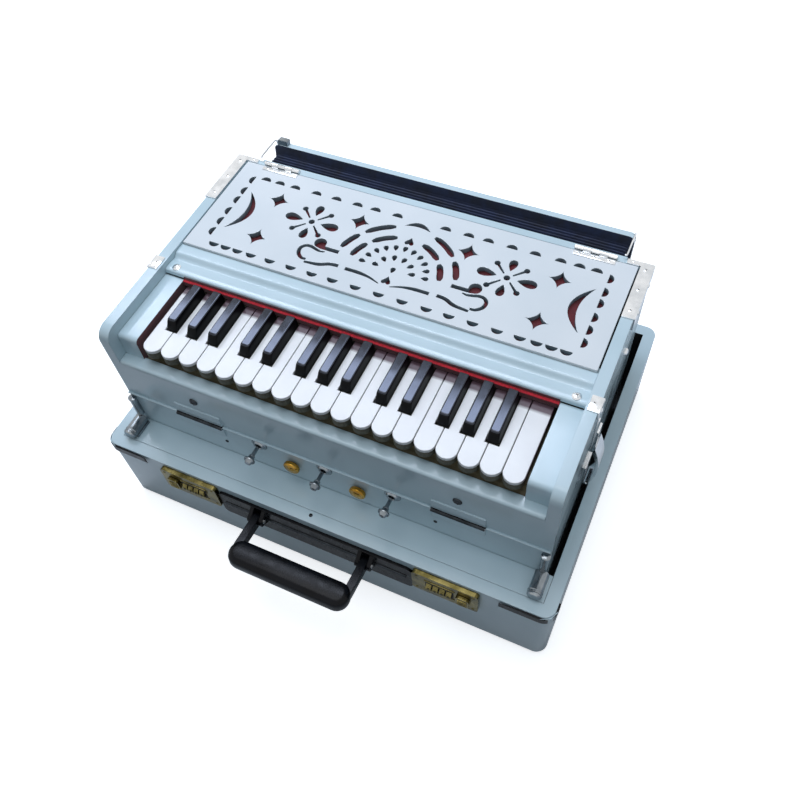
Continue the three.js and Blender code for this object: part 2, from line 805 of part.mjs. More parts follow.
function cornerBolt() {
  const sleeveFront = trayFront + sleeveSetback;
  const capFront = sleeveFront - boltReach - boltCapLength;
  const cap = boltCapLength;
  const end = sleeveFront + sleeveLength - overrun - capFront;
  const profile = [[0, 0], [sleeveRadius - cap / 2, 0], [sleeveRadius, cap / 2], [sleeveRadius, cap],
    [boltRadius, cap], [boltRadius, end], [0, end]];
  return turned(profile, yAxis, boltX, capFront, boltHeight, 14);
}

// Side latch lever with its loop, lying outside the keeper.
function sideLatch() {
  const inner = caseHalf + gap + latchBaseThickness + gap;
  const y = latchY;
  const half = latchWidth / 2 - gap;
  const height = leverTop - leverFoot;
  const lever = new THREE.Shape();
  lever.moveTo(inner, leverFoot);
  lever.quadraticCurveTo(inner + leverBulge * 2 - leverThickness, leverFoot + height / 2, inner, leverTop);
  lever.lineTo(inner + leverThickness, leverTop + leverThickness);
  lever.quadraticCurveTo(inner + leverBulge * 2, leverFoot + height / 2,
    inner + leverThickness, leverFoot - leverThickness / 2);
  lever.closePath();
  const loop = block(inner, inner + loopThickness, y - loopWidth / 2, y + loopWidth / 2,
    leverTop - overrun, loopTop);
  const window = block(inner - overrun, inner + loopThickness + overrun, y - loopWidth / 2 + loopThickness,
    y + loopWidth / 2 - loopThickness, leverTop + leverThickness + overrun, loopTop - loopThickness);
  return shaped([prismY(lever, y - half, y + half, 6), loop], [window]);
}

// Reservoir board and the folded cloth that hangs it under the wind board.
function reservoirBoard() {
  const middle = (caseFront + caseBack) / 2;
  const top = windBoardHeight - reservoirDrop;
  const shape = roundedRectangle(-reservoirHalf, reservoirHalf, middle - reservoirDepth / 2,
    middle + reservoirDepth / 2, boardCorner);
  return prismZ(shape, top - reservoirThickness, top, 3);
}

// Closed skin through rings of points, each ring with the same number of points, capped at both ends.
function loft(rings) {
  const each = rings[0].length;
  const places = [];
  const push = (point) => places.push(...point);
  for (let row = 0; row < rings.length - 1; row += 1) {
    for (let place = 0; place < each; place += 1) {
      const next = (place + 1) % each;
      push(rings[row][place]);
      push(rings[row][next]);
      push(rings[row + 1][next]);
      push(rings[row][place]);
      push(rings[row + 1][next]);
      push(rings[row + 1][place]);
    }
  }
  const last = rings[rings.length - 1];
  for (let place = 1; place < each - 1; place += 1) {
    push(rings[0][0]);
    push(rings[0][place + 1]);
    push(rings[0][place]);
    push(last[0]);
    push(last[place]);
    push(last[place + 1]);
  }
  const geometry = new THREE.BufferGeometry();
  geometry.setAttribute('position', new THREE.Float32BufferAttribute(places, 3));
  geometry.computeVertexNormals();
  return geometry;
}

function reservoirCloth() {
  const middle = (caseFront + caseBack) / 2;
  const foot = windBoardHeight - reservoirDrop + gap;
  const top = windBoardHeight - gap;
  const rings = [];
  const steps = reservoirFolds * 2;
  for (let step = 0; step <= steps; step += 1) {
    const inset = boardCorner + (step % 2) * reservoirFold;
    const x = reservoirHalf - inset;
    const y = reservoirDepth / 2 - inset;
    const z = foot + (top - foot) * step / steps;
    rings.push([[-x, middle - y, z], [x, middle - y, z], [x, middle + y, z], [-x, middle + y, z]]);
  }
  return loft(rings);
}

// Bellows board about its hinge line, upright; its group leans it back.
function bellowsBoard() {
  const shape = roundedRectangle(-boardHalf, boardHalf, 0, boardHeight, boardCorner);
  const board = prismY(shape, gap, boardThickness + gap, 4);
  const left = -boardHalf + catchInset;
  const catchPlan = roundedRectangle(left, left + catchWidth, boardHeight - overrun * 3,
    boardHeight + catchHeight, overrun);
  return shaped([board, prismY(catchPlan, overrun, boardThickness, 3)]);
}

// Pleated bellows cloth: sections fanned out about the hinge line, every second one drawn in.
function bellowsCloth() {
  const rings = [];
  const steps = clothFolds * 2;
  const span = boardLean * degree;
  const startTurn = Math.atan2(hingeClear - gap, boardHeight);
  for (let step = 0; step <= steps; step += 1) {
    const inset = clothInset + (step % 2) * clothFold;
    const x = boardHalf - inset;
    const far = panelTop - hingeHeight - inset;
    const near = clothInset * 2;
    const turn = (span + startTurn) * step / steps - startTurn;
    const y = (along) => hingeY + along * Math.sin(turn);
    const z = (along) => hingeHeight + along * Math.cos(turn);
    rings.push([[-x, y(near), z(near)], [-x, y(far), z(far)], [x, y(far), z(far)], [x, y(near), z(near)]]);
  }
  return loft(rings);
}

// Upper case: two side walls with a round front corner, joined by the front and back boards.
function sideWall() {
  const shape = new THREE.Shape();
  shape.moveTo(caseFront, upperFoot);
  shape.lineTo(upperBack, upperFoot);
  shape.lineTo(upperBack, upperTop);
  shape.absarc(caseFront + upperCorner, upperTop - upperCorner, upperCorner, Math.PI / 2, Math.PI);
  shape.closePath();
  return prismX(shape, upperHalfInside, caseHalf, 4);
}

function upperCase() {
  const wall = sideWall();
  const half = upperHalfInside + overrun;
  const front = block(-half, half, caseFront, frontBoardBack, upperFoot, frontBoardTop);
  const back = block(-half, half, upperBack - backBoardThickness, upperBack, upperFoot, upperTop);
  const fittings = [cornerBracket(), frontLeaf(1), lidRailLeaf(), latchKeeper(), strapButton()];
  return shaped([...pair(wall), front, back, ...fittings.flatMap(pair)]);
}

// Key slip on the front board, and the cheek blocks at both ends of the keys.
function keyboardSurround() {
  const half = upperHalfInside - gap;
  const foot = frontBoardTop + gap;
  const slip = new THREE.Shape();
  slip.moveTo(caseFront, foot);
  slip.lineTo(frontBoardBack, foot);
  slip.lineTo(frontBoardBack, slipTop);
  slip.absarc(caseFront + slipEdge, slipTop - slipEdge, slipEdge, Math.PI / 2, Math.PI);
  slip.closePath();
  const cheek = new THREE.Shape();
  const cheekFront = frontBoardBack - overrun * 2;
  cheek.moveTo(cheekFront, reedBoardTop + gap);
  cheek.lineTo(mouldingFront - gap, reedBoardTop + gap);
  cheek.lineTo(mouldingFront - gap, cheekTop);
  cheek.absarc(cheekFront + cheekCorner, cheekTop - cheekCorner, cheekCorner, Math.PI / 2, Math.PI);
  cheek.closePath();
  const right = prismX(cheek, half - cheekWidth, half, 4);
  return shaped([prismX(slip, -half, half, 4), ...pair(right)]);
}

// Keys, left to right: where each one lies, what is cut from its sides, and its name.
function keyPlan() {
  const whites = [];
  const sharps = [];
  for (let place = 0; place < whiteCount; place += 1) {
    const middle = (place - (whiteCount - 1) / 2) * whitePitch;
    const step = place % octavePattern.length;
    const half = (whitePitch - keyGap) / 2;
    whites.push({ middle, left: middle - half, right: middle + half, half });
    if (octavePattern[step] && place < whiteCount - 1) {
      const x = middle + whitePitch * (1 / 2 + sharpShiftShares[step]);
      sharps.push({ x, after: place });
    }
  }
  for (const sharp of sharps) {
    const reach = sharpWidth / 2 + keyGap;
    whites[sharp.after].right = sharp.x - reach;
    whites[sharp.after + 1].left = sharp.x + reach;
  }
  return { whites, sharps };
}

function whiteKey(key) {
  const radius = (key.half ** 2 + keyNose ** 2) / (2 * keyNose);
  const sweep = Math.asin(key.half / radius);
  const notch = sharpFront - keyGap;
  const shape = new THREE.Shape();
  shape.absarc(key.middle, whiteTip + radius, radius, -Math.PI / 2 - sweep, -Math.PI / 2 + sweep);
  shape.lineTo(key.middle + key.half, notch);
  shape.lineTo(key.right, notch);
  shape.lineTo(key.right, keyEnd);
  shape.lineTo(key.left, keyEnd);
  shape.lineTo(key.left, notch);
  shape.lineTo(key.middle - key.half, notch);
  shape.closePath();
  const pallet = block(key.left + palletSide, key.right - palletSide, palletFront,
    palletFront + palletLength, reedBoardTop + gap, keyBottom + overrun);
  return shaped([prismZ(shape, keyBottom, whiteTop, 4), pallet]);
}

function sharpKey(key) {
  const front = sharpFront;
  const top = whiteTop + sharpHeight;
  const back = front + sharpLength;
  const pallet = palletFront;
  const palletFoot = reedBoardTop + gap;
  const shape = new THREE.Shape();
  shape.moveTo(front, keyBottom);
  shape.lineTo(pallet, keyBottom);
  shape.lineTo(pallet, palletFoot);
  shape.lineTo(pallet + palletLength, palletFoot);
  shape.lineTo(pallet + palletLength, keyBottom);
  shape.lineTo(keyEnd, keyBottom);
  shape.lineTo(keyEnd, whiteTop);
  shape.lineTo(back, whiteTop);
  shape.lineTo(back, top - sharpRound);
  shape.absarc(back - sharpRound, top - sharpRound, sharpRound, 0, Math.PI / 2);
  shape.lineTo(front + sharpSlope + sharpRound, top);
  shape.quadraticCurveTo(front + sharpSlope, top,
    front + sharpSlope * (1 - sharpRound / sharpHeight), top - sharpRound);
  shape.lineTo(front, whiteTop);
  shape.closePath();
  const half = sharpWidth / 2;
  const geometry = prismX(shape, -half, half, 2);
  const places = geometry.getAttribute('position');
  const draw = (1 - sharpTopWidth / sharpWidth) / sharpHeight;
  for (let corner = 0; corner < places.count; corner += 1) {
    const over = Math.max(0, places.getZ(corner) - whiteTop);
    places.setX(corner, key.x + places.getX(corner) * (1 - over * draw));
  }
  return shaped([geometry]);
}

// Reed board with its tone holes, two rows of reed plates under it, and the rail that stops the keys.
function reedBoard(tails) {
  const half = upperHalfInside - gap;
  const front = frontBoardBack + gap;
  const back = upperBack - backBoardThickness - gap;
  const foot = reedBoardTop - reedBoardThickness;
  const board = block(-half, half, front, back, foot, reedBoardTop);
  const holeFront = palletFront + (palletLength - toneHoleLength) / 2;
  const holes = tails.map((tail) => block(tail - toneHoleWidth / 2, tail + toneHoleWidth / 2,
    holeFront, holeFront + toneHoleLength, foot - overrun, reedBoardTop + overrun));
  const stopFront = whiteTip + stopRailStart;
  const stopTop = keyBottom - (pivotY - stopFront) * Math.sin(keyDip * degree) - gap;
  const stopRail = roundedRectangle(stopFront, stopFront + stopRailWidth, reedBoardTop - overrun,
    stopTop, overrun);
  const railHalf = half - cheekWidth;
  const reeds = [];
  for (const tail of tails) {
    for (const row of [0, 1]) {
      const end = palletFront + palletLength - row * (reedLength + reedRowGap);
      reeds.push(block(tail - reedWidth / 2, tail + reedWidth / 2, end - reedLength, end,
        foot - reedThickness, foot + overrun));
    }
  }
  return shaped([shaped([board], holes), prismX(stopRail, -railHalf, railHalf, 3), ...reeds]);
}

// Balance rail under the keys, with one hairpin leaf spring for each key.
function balanceRail(tails) {
  const half = upperHalfInside - cheekWidth - gap;
  const foot = reedBoardTop + gap;
  const ridge = keyBottom - gap;
  const rail = new THREE.Shape();
  rail.moveTo(pivotY - railWidth / 2, foot);
  rail.lineTo(pivotY + railWidth / 2, foot);
  rail.lineTo(pivotY + railRound, ridge - railRound);
  rail.absarc(pivotY, ridge - railRound, railRound, 0, Math.PI);
  rail.closePath();
  const tip = pivotY - springContact;
  const bend = tip - springReach;
  const top = keyBottom - springContact * Math.sin(keyDip * degree) - gap;
  const spring = new THREE.Shape();
  spring.moveTo(pivotY, foot);
  spring.lineTo(bend, foot);
  spring.lineTo(bend, foot + springThickness);
  spring.lineTo(tip, top);
  spring.lineTo(tip + springThickness, top - springThickness);
  spring.lineTo(bend + springBend, foot + springThickness);
  spring.lineTo(pivotY, foot + springThickness);
  spring.closePath();
  const springs = tails.map((tail) => prismX(spring, tail - springWidth / 2, tail + springWidth / 2));
  return shaped([prismX(rail, -half, half, 5), ...springs]);
}

// Moulding across the keys, with its cove and the rebate that the lid's front edge lies in.
function frontMoulding() {
  const half = upperHalfInside - gap;
  const back = lidFront - gap;
  const ledgeStart = mouldingFront + mouldingNose - mouldingFoot;
  const ledgeEnd = mouldingFront + mouldingLedgeDepth;
  const seat = upperTop - lidThickness - gap;
  const shape = new THREE.Shape();
  shape.moveTo(mouldingFront, mouldingFoot);
  shape.lineTo(lidFront + lidRebate, mouldingFoot);
  shape.lineTo(lidFront + lidRebate, seat);
  shape.lineTo(back, seat);
  shape.lineTo(back, mouldingTop);
  shape.lineTo(ledgeEnd + mouldingCove, mouldingTop);
  shape.quadraticCurveTo(ledgeEnd + mouldingCove / 3, mouldingTop - overrun, ledgeEnd, mouldingLedge);
  shape.lineTo(ledgeStart, mouldingLedge);
  shape.quadraticCurveTo(mouldingFront, mouldingLedge, mouldingFront, mouldingNose);
  shape.closePath();
  const felt = roundedRectangle(mouldingFront - feltDepth, mouldingFront + overrun,
    whiteTop + feltLift, whiteTop + feltLift + feltHeight, overrun / 2);
  const feltHalf = upperHalfInside - cheekWidth - gap * 3;
  const cup = turned([[0, -overrun], [cupRadius, -overrun], [cupRadius, 0], [cupRadius / 2, cupHeight],
    [0, cupHeight]], zAxis, upperHalfInside - cupInset, mouldingFront + cupSetback, mouldingLedge, 12);
  return shaped([prismX(shape, -half, half, 6), prismX(felt, -feltHalf, feltHalf, 3), ...pair(cup)]);
}

// Bracket over a back corner of the upper case.
function cornerBracket() {
  const front = upperBack - bracketLength;
  const foot = upperTop - overrun;
  const top = upperTop + bracketThickness;
  const side = caseHalf - overrun;
  const edge = caseHalf + bracketThickness;
  const backLegFront = lidBack + gap;
  const long = block(upperHalfInside, edge, front, upperBack, foot, top);
  const across = block(caseHalf - bracketBack, edge, backLegFront, upperBack, foot, top);
  const flange = block(side, edge, front, upperBack, upperTop - bracketFlange, top);
  return shaped([long, across, flange]);
}

function lidRailLeaf() {
  const front = lidAxisY + knuckleRadius + gap;
  const top = upperTop + gap + leafThickness;
  const leaf = block(lidHingeIn, lidHingeIn + lidHingeLength, front, upperBack, upperTop - overrun, top);
  return shaped([
    leaf,
    ...tabRow(lidHingeIn, lidHingeLength, 0, lidAxisY + knuckleRadius / 2, front + overrun,
      upperTop + gap, top),
    ...knuckleRow(lidHingeIn, lidHingeLength, 0, lidAxisY, lidAxisZ),
  ]);
}

function latchKeeper() {
  const y = latchY;
  const half = latchWidth / 2;
  const plate = roundedRectangle(y - half, y + half, keeperFoot, keeperTop, keeperCorner);
  return prismX(plate, caseHalf - overrun, caseHalf + keeperThickness, 3);
}

function strapButton() {
  const radius = strapButtonRadius;
  const shoulder = radius * knobShoulderShare;
  return turned([[0, -overrun], [radius, -overrun], [radius, 0], [shoulder, radius / 2],
    [0, shoulder]], xAxis, caseHalf, upperBack - strapButtonInset, strapButtonHeight, 10);
}

function placed(points, x, y, turn = 0) {
  const across = Math.cos(turn);
  const along = Math.sin(turn);
  return points.map(([u, v]) => [x + u * across - v * along, y + u * along + v * across]);
}

function ellipsePart(halfWidth, depth, steps) {
  const points = [];
  for (let step = 0; step <= steps; step += 1) {
    const turn = Math.PI * step / steps;
    points.push([halfWidth * Math.cos(turn), depth * Math.sin(turn)]);
  }
  return points;
}

function disc(radius, steps) {
  const points = [];
  for (let step = 0; step < steps; step += 1) {
    const turn = 2 * Math.PI * step / steps;
    points.push([radius * Math.cos(turn), radius * Math.sin(turn)]);
  }
  return points;
}

// Drop with its point at the start and its round end along X.
function drop(length, width, steps) {
  const points = [];
  for (let step = 0; step < steps; step += 1) {
    const turn = 2 * Math.PI * step / steps;
    const swell = Math.sin(turn / 2);
    points.push([length * swell ** 2, width / 2 * Math.sin(turn) * swell / dropSwellShare]);
  }
  return points;
}

function star(reach) {
  const points = [];
  const steps = 8;
  for (let step = 0; step < steps; step += 1) {
    const turn = 2 * Math.PI * step / steps;
    points.push([reach * Math.cos(turn) ** 3, reach * Math.sin(turn) ** 3]);
  }
  return points;
}

// Crescent between two bows over the same chord.
function crescent(half, depth, inner, steps) {
  const points = [];
  for (let step = 0; step <= steps; step += 1) {
    const share = 1 - 2 * step / steps;
    points.push([half * share, depth * (1 - share ** 2)]);
  }
  for (let step = 1; step < steps; step += 1) {
    const share = 2 * step / steps - 1;
    points.push([half * share, inner * (1 - share ** 2)]);
  }
  return points;
}

// Bar bent round a centre between two turns in degrees, narrower at its ends.
function bentBar(radius, from, to, width, steps) {
  const outer = [];
  const inner = [];
  for (let step = 0; step <= steps; step += 1) {
    const turn = (from + (to - from) * step / steps) * degree;
    const half = width / 2 * (step === 0 || step === steps ? 1 / 2 : 1);
    outer.push([(radius + half) * Math.cos(turn), (radius + half) * Math.sin(turn)]);
    inner.unshift([(radius - half) * Math.cos(turn), (radius - half) * Math.sin(turn)]);
  }
  return [...outer, ...inner];
}

// Pin with a ball at its far end, along X.
function ballPin() {
  const points = [[pinStart, -pinWidth / 2]];
  const steps = 5;
  for (let step = 0; step <= steps; step += 1) {
    const turn = Math.PI * pinSweepShare * (2 * step / steps - 1);
    points.push([pinStart + pinLength + pinBall * Math.cos(turn), pinBall * Math.sin(turn)]);
  }
  points.push([pinStart, pinWidth / 2]);
  return points;
}

// Bar with a ball at its far end, set off to one side.
function cane() {
  const points = [[0, -caneBar / 2], [caneLength - caneBall / 2, -caneBar / 2]];
  const [from, to] = caneTurns;
  const steps = 6;
  for (let step = 0; step <= steps; step += 1) {
    const turn = (from + (to - from) * step / steps) * degree;
    points.push([caneLength + caneBall * Math.cos(turn), caneOffset + caneBall * Math.sin(turn)]);
  }
  points.push([caneLength - caneBall, caneBar / 2], [0, caneBar / 2]);
  return points;
}

// Stroke along a path, with its own width at each point.
function stroke(path, widths) {
  const left = [];
  const right = [];
  path.forEach(([u, v], place) => {
    const before = path[Math.max(place - 1, 0)];
    const after = path[Math.min(place + 1, path.length - 1)];
    const [run, rise] = [after[0] - before[0], after[1] - before[1]];
    const half = widths[place] / 2 / Math.hypot(run, rise);
    left.unshift([u - rise * half, v + run * half]);
    right.push([u + rise * half, v - run * half]);
  });
  return [...right, ...left];
}

function spade(length, width) {
  return spadeOutlineShares.map(([u, v]) => [u * width, v * length]);
}

// Motifs on the right half of the lid; each is repeated on the left.
function sideMotifs() {
  const across = (share) => share * lidHalf;
  const back = (share) => lidFront + share * lidDepth;
  const quarter = Math.PI / 2;
  const moon = ellipsePart(moonLength / 2, moonDepth, 4);
  const motifs = [];
  for (const share of frontMoonShares) {
    motifs.push(placed(moon, across(share), back(moonFrontShare), Math.PI));
  }
  for (const share of backMoonShares) {
    motifs.push(placed(moon, across(share), back(moonBackShare), 0));
  }
  for (const share of sideMoonShares) {
    motifs.push(placed(moon, across(moonSideShare), back(share), -quarter));
  }
  const [rosetteX, rosetteY] = [across(rosetteShares[0]), back(rosetteShares[1])];
  motifs.push(placed(disc(rosetteDot, 8), rosetteX, rosetteY));
  for (const side of [0, 2]) {
    const long = placed(drop(longPetal, longPetalWidth, 8), longPetalStart, 0);
    const short = placed(drop(shortPetal, shortPetalWidth, 8), shortPetalStart, 0);
    motifs.push(placed(long, rosetteX, rosetteY, side * quarter));
    motifs.push(placed(short, rosetteX, rosetteY, (side + 1) * quarter));
  }
  for (const side of [0, 1, 2, 3]) {
    motifs.push(placed(ballPin(), rosetteX, rosetteY, (side + 1 / 2) * quarter));
  }
  for (const [x, y] of starShares) {
    motifs.push(placed(star(starReach), across(x), back(y)));
  }
  const bow = crescent(crescentHalf, crescentDepth, crescentInner, 7);
  motifs.push(placed(bow, across(crescentShares[0]), back(crescentShares[1]), quarter));
  for (const [from, to] of fanOuterTurns) {
    motifs.push(placed(bentBar(fanOuter, from, to, fanBar, 3), 0, back(fanShare)));
  }
  for (const [from, to] of fanMiddleTurns) {
    motifs.push(placed(bentBar(fanMiddle, from, to, fanBar, 3), 0, back(fanShare)));
  }
  motifs.push(placed(cane(), across(caneShares[0]), back(caneShares[1])));
  const scroll = bentBar(scrollRadius, scrollTurns[0], scrollTurns[1], scrollBar, 7);
  motifs.push(placed(scroll, across(scrollShares[0]), back(scrollShares[1])));
  const inner = stroke(innerWave, innerWaveWidths);
  motifs.push(placed(inner, across(innerWaveShares[0]), back(innerWaveShares[1])));
  const outer = stroke(outerWave, outerWaveWidths);
  motifs.push(placed(outer, across(outerWaveShares[0]), back(outerWaveShares[1])));
  return motifs;
}

// Motifs on the lid's middle line and the fan's rows of drops.
function middleMotifs() {
  const back = (share) => lidFront + share * lidDepth;
  const fan = back(fanShare);
  const moon = ellipsePart(moonLength / 2, moonDepth, 4);
  const motifs = [placed(moon, 0, back(moonFrontShare), Math.PI)];
  motifs.push(placed(crescent(chevronHalf, chevronDepth, chevronInner, 4), 0, back(chevronShare)));
  for (const share of spadePlaceShares) {
    motifs.push(placed(spade(spadeLength, spadeWidth), 0, back(share)));
  }
  motifs.push(placed(drop(dropLength, dropWidth, 6), 0, fan, Math.PI / 2));
  for (const [radius, count] of [[fanInner, fanInnerDrops], [fanCore, fanCoreDrops]]) {
    for (let place = 0; place < count; place += 1) {
      const turn = Math.PI * (place + 1 / 2) / count;
      const petal = placed(drop(dropLength, dropWidth, 6), radius - dropLength / 2, 0);
      motifs.push(placed(petal, 0, fan, turn));
    }
  }
  return motifs;
}

function mirroredPoints(points) {
  return points.map(([u, v]) => [-u, v]).reverse();
}

function lidLeaf() {
  const foot = upperTop + gap;
  const top = foot + leafThickness;
  const end = lidAxisY - knuckleRadius - gap;
  const outer = lidHingeIn + lidHingeLength;
  return shaped([
    block(lidHingeIn, outer, end - lidLeafDepth, end, foot, top),
    block(lidHingeIn, outer, end - lidLeafDepth, end, upperTop - overrun, foot + leafThickness / 2),
    ...tabRow(lidHingeIn, lidHingeLength, 1, end - overrun, lidAxisY - knuckleRadius / 2, foot, top),
    ...knuckleRow(lidHingeIn, lidHingeLength, 1, lidAxisY, lidAxisZ),
  ]);
}

// Lid board with its fretwork, and the moving leaves of its hinges.
function lidBoard() {
  const foot = upperTop - lidThickness;
  const board = block(-lidHalf, lidHalf, lidFront, lidBack, foot, upperTop);
  const sides = sideMotifs();
  const motifs = [...sides, ...sides.map(mirroredPoints), ...middleMotifs()];
  const cutters = motifs.map((motif) => prismZ(outline(motif), foot - overrun, upperTop + overrun));
  return shaped([shaped([board], cutters), ...pair(lidLeaf())]);
}

function addTray() {
  addPiece('case_tray', trayShell(), laminate);
  addPiece('deck_board', deckBoard(), laminate);
  addPiece('handle_plate', handlePlate(), blackPlastic);
  addPiece('combination_lock_right', lockBody(), gold);
  addPiece('combination_lock_left', mirrored(lockBody()), gold);
  addPiece('lock_slider_right', lockSlider(), gold);
  addPiece('lock_slider_left', mirrored(lockSlider()), gold);
  const swing = new THREE.Group();
  swing.position.set(0, trayFront - pivotReach, pivotHeight);
  swing.rotation.x = -gripLift * degree;
  harmonium.add(swing);
  addPiece('carry_handle', carryHandle(), blackPlastic, swing);
}

function addLowerCase() {
  addPiece('lower_case', lowerCase(), laminate);
  addPiece('air_stop_left', airStop(airStopPlaces[0]), chrome);
  addPiece('air_stop_middle', airStop(airStopPlaces[1]), chrome);
  addPiece('air_stop_right', airStop(airStopPlaces[2]), chrome);
  addPiece('drone_stop_left', droneStop(droneStopPlaces[0]), brass);
  addPiece('drone_stop_right', droneStop(droneStopPlaces[1]), brass);
  addPiece('corner_bolt_right', cornerBolt(), chrome);
  addPiece('corner_bolt_left', mirrored(cornerBolt()), chrome);
  addPiece('side_latch_right', sideLatch(), chrome);
  addPiece('side_latch_left', mirrored(sideLatch()), chrome);
  addPiece('reservoir_board', reservoirBoard(), wood);
  addPiece('reservoir_cloth', reservoirCloth(), navyCloth);
}

function addBellows() {
  const lean = new THREE.Group();
  lean.position.set(0, hingeY, hingeHeight);
  lean.rotation.x = -boardLean * degree;
  harmonium.add(lean);
  addPiece('bellows_board', bellowsBoard(), laminate, lean);
  addPiece('bellows_cloth', bellowsCloth(), navyCloth);
}

function addUpperCase() {
  const { whites, sharps } = keyPlan();
  const tails = [...whites.map((key) => (key.left + key.right) / 2), ...sharps.map((key) => key.x)];
  addPiece('upper_case', upperCase(), laminate);
  addPiece('key_slip', keyboardSurround(), laminate);
  addPiece('front_moulding', frontMoulding(), laminate);
  addPiece('lid_board', lidBoard(), laminate);
  addPiece('reed_board', reedBoard(tails), wood);
  addPiece('balance_rail', balanceRail(tails), wood);
  whites.forEach((key, place) => {
    addPiece(`white_key_${String(place + 1).padStart(2, '0')}`, whiteKey(key), ivory);
  });
  sharps.forEach((key, place) => {
    addPiece(`black_key_${String(place + 1).padStart(2, '0')}`, sharpKey(key), ebony);
  });
}

addTray();
addLowerCase();
addBellows();
addUpperCase();

export default harmonium;
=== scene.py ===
"""Looks of a portable harmonium that stands raised in the lower half of its carrying case."""

import math

import bmesh
import bpy
from mathutils import Matrix, Vector


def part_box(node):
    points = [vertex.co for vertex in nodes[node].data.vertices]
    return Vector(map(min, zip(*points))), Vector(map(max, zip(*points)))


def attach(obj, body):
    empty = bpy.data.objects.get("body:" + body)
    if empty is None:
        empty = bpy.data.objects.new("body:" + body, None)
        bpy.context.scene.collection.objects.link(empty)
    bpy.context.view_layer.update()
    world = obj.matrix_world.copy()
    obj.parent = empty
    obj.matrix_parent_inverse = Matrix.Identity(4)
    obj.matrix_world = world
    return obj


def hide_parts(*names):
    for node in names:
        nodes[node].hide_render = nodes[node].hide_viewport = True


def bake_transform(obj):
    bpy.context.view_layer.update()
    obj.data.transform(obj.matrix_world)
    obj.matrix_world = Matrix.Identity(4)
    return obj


MM = 0.001

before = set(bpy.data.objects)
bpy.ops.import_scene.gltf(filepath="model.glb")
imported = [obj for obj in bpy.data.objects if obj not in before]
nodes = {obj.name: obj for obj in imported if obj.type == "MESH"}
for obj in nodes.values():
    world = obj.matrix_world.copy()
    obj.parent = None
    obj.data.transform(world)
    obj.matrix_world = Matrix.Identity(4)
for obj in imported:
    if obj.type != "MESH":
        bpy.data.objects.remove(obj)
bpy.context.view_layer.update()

# Places in millimetres, the same as the solids': X to the player's right, Y away from the player, Z up

TRAY_FRONT = -183.5
TRAY_TOP = 108.0
TRAY_HALF = 251.5
TRAY_WALL = 13.0
CASE_FRONT = -141.5
CASE_HALF = 232.0
CASE_TOP = 157.0
UPPER_TOP = 255.5
REED_BOARD_FOOT = 198.0
PIVOT_Y = 16.5
CHEEK_INSIDE = 198.3
CHEEK_SCREW = (209.7, -36)
MOULDING_FRONT = -42.6
MOULDING_LEDGE = 249.3
KEY_FOOT = 225.0
# Span along Y where the painted shade on the white caps' back ends fades in
BACK_SHADE_SPAN = (-58.0, -54.5)
PALLET = (78.5, 108.5)
PALLET_FOOT = 212.3
KEY_END = 116.5
LID_HALF = 218.8
LID_FRONT = -7.5
LID_BACK = 125.5
LID_FOOT = 249.5
LID_AXIS = (127.5, 258.0)
LID_HINGE = (155.0, 197.0)
FRONT_HINGE = (115.0, 169.0)
FRONT_AXIS_Y = -144.0
HINGE_LINE = (139.0, 112.0)
BOARD_HALF = 205.6
LEAN = math.radians(9)
LOCK_IN = 112.0
LOCK_FACE = -188.8
LOCK_MIDDLE = 85.5
PLATE_FACE = -186.8
KNUCKLE = 2.2
BRACKET_X = 226.5
BRACKET_TOP = 256.9
KEEPER = (-51, -34)
KEEPER_OUT = 233.7
CATCH = (-202, -189)
STOP_Z = 149
DRONE_Z = 135
BOLT_X = 228
BOLT_Z = 115.3
HAIR = 0.1
SIDES = ((1, "right"), (-1, "left"))

# Camera, found by fitting the photographed keyboard, lid and case

PHOTO_SIDE = 794
FOCAL_PIXELS = 817.5
SENSOR = 36.0
CAMERA_PLACE = Vector((269.0, -451.4, 845.8)) * MM
CAMERA_AZIMUTH = math.radians(-29.90)
CAMERA_ELEVATION = math.radians(55.51)
CAMERA_ROLL = math.radians(-6.32)


def make_camera():
    """Places the camera where the photograph was taken from."""
    flat, east, north = math.cos(CAMERA_ELEVATION), math.sin(CAMERA_AZIMUTH), math.cos(CAMERA_AZIMUTH)
    ahead = Vector((east * flat, north * flat, -math.sin(CAMERA_ELEVATION)))
    level = Vector((north, -east, 0.0))
    upright = level.cross(ahead)
    right = math.cos(CAMERA_ROLL) * level + math.sin(CAMERA_ROLL) * upright
    up = math.cos(CAMERA_ROLL) * upright - math.sin(CAMERA_ROLL) * level
    data = bpy.data.cameras.new("camera")
    data.sensor_width = SENSOR
    data.lens = SENSOR * FOCAL_PIXELS / PHOTO_SIDE
    data.clip_start = 0.01
    data.clip_end = 50
    camera = bpy.data.objects.new("camera", data)
    bpy.context.scene.collection.objects.link(camera)
    turn = Matrix((right, up, -ahead)).transposed().to_4x4()
    camera.matrix_world = Matrix.Translation(CAMERA_PLACE) @ turn
    bpy.context.scene.camera = camera


# Materials

def tone(text):
    """An sRGB hex colour as linear red, green, blue and alpha."""
    channels = [int(text[place:place + 2], 16) / 255 for place in (1, 3, 5)]
    linear = [c / 12.92 if c <= 0.04045 else ((c + 0.055) / 1.055) ** 2.4 for c in channels]
    return (*linear, 1.0)


def per_metre(size_mm):
    """Texture scale for features of a size in millimetres."""
    return 1 / (size_mm * MM)


def add(tree, kind, values=None, links=None, **settings):
    """Adds a shader node with its socket values, links from other nodes' outputs, and settings."""
    node = tree.nodes.new("ShaderNode" + kind)
    for name, value in settings.items():
        setattr(node, name, value)
    for socket, value in (values or {}).items():
        node.inputs[socket].default_value = value
    for socket, output in (links or {}).items():
        tree.links.new(output, node.inputs[socket])
    return node


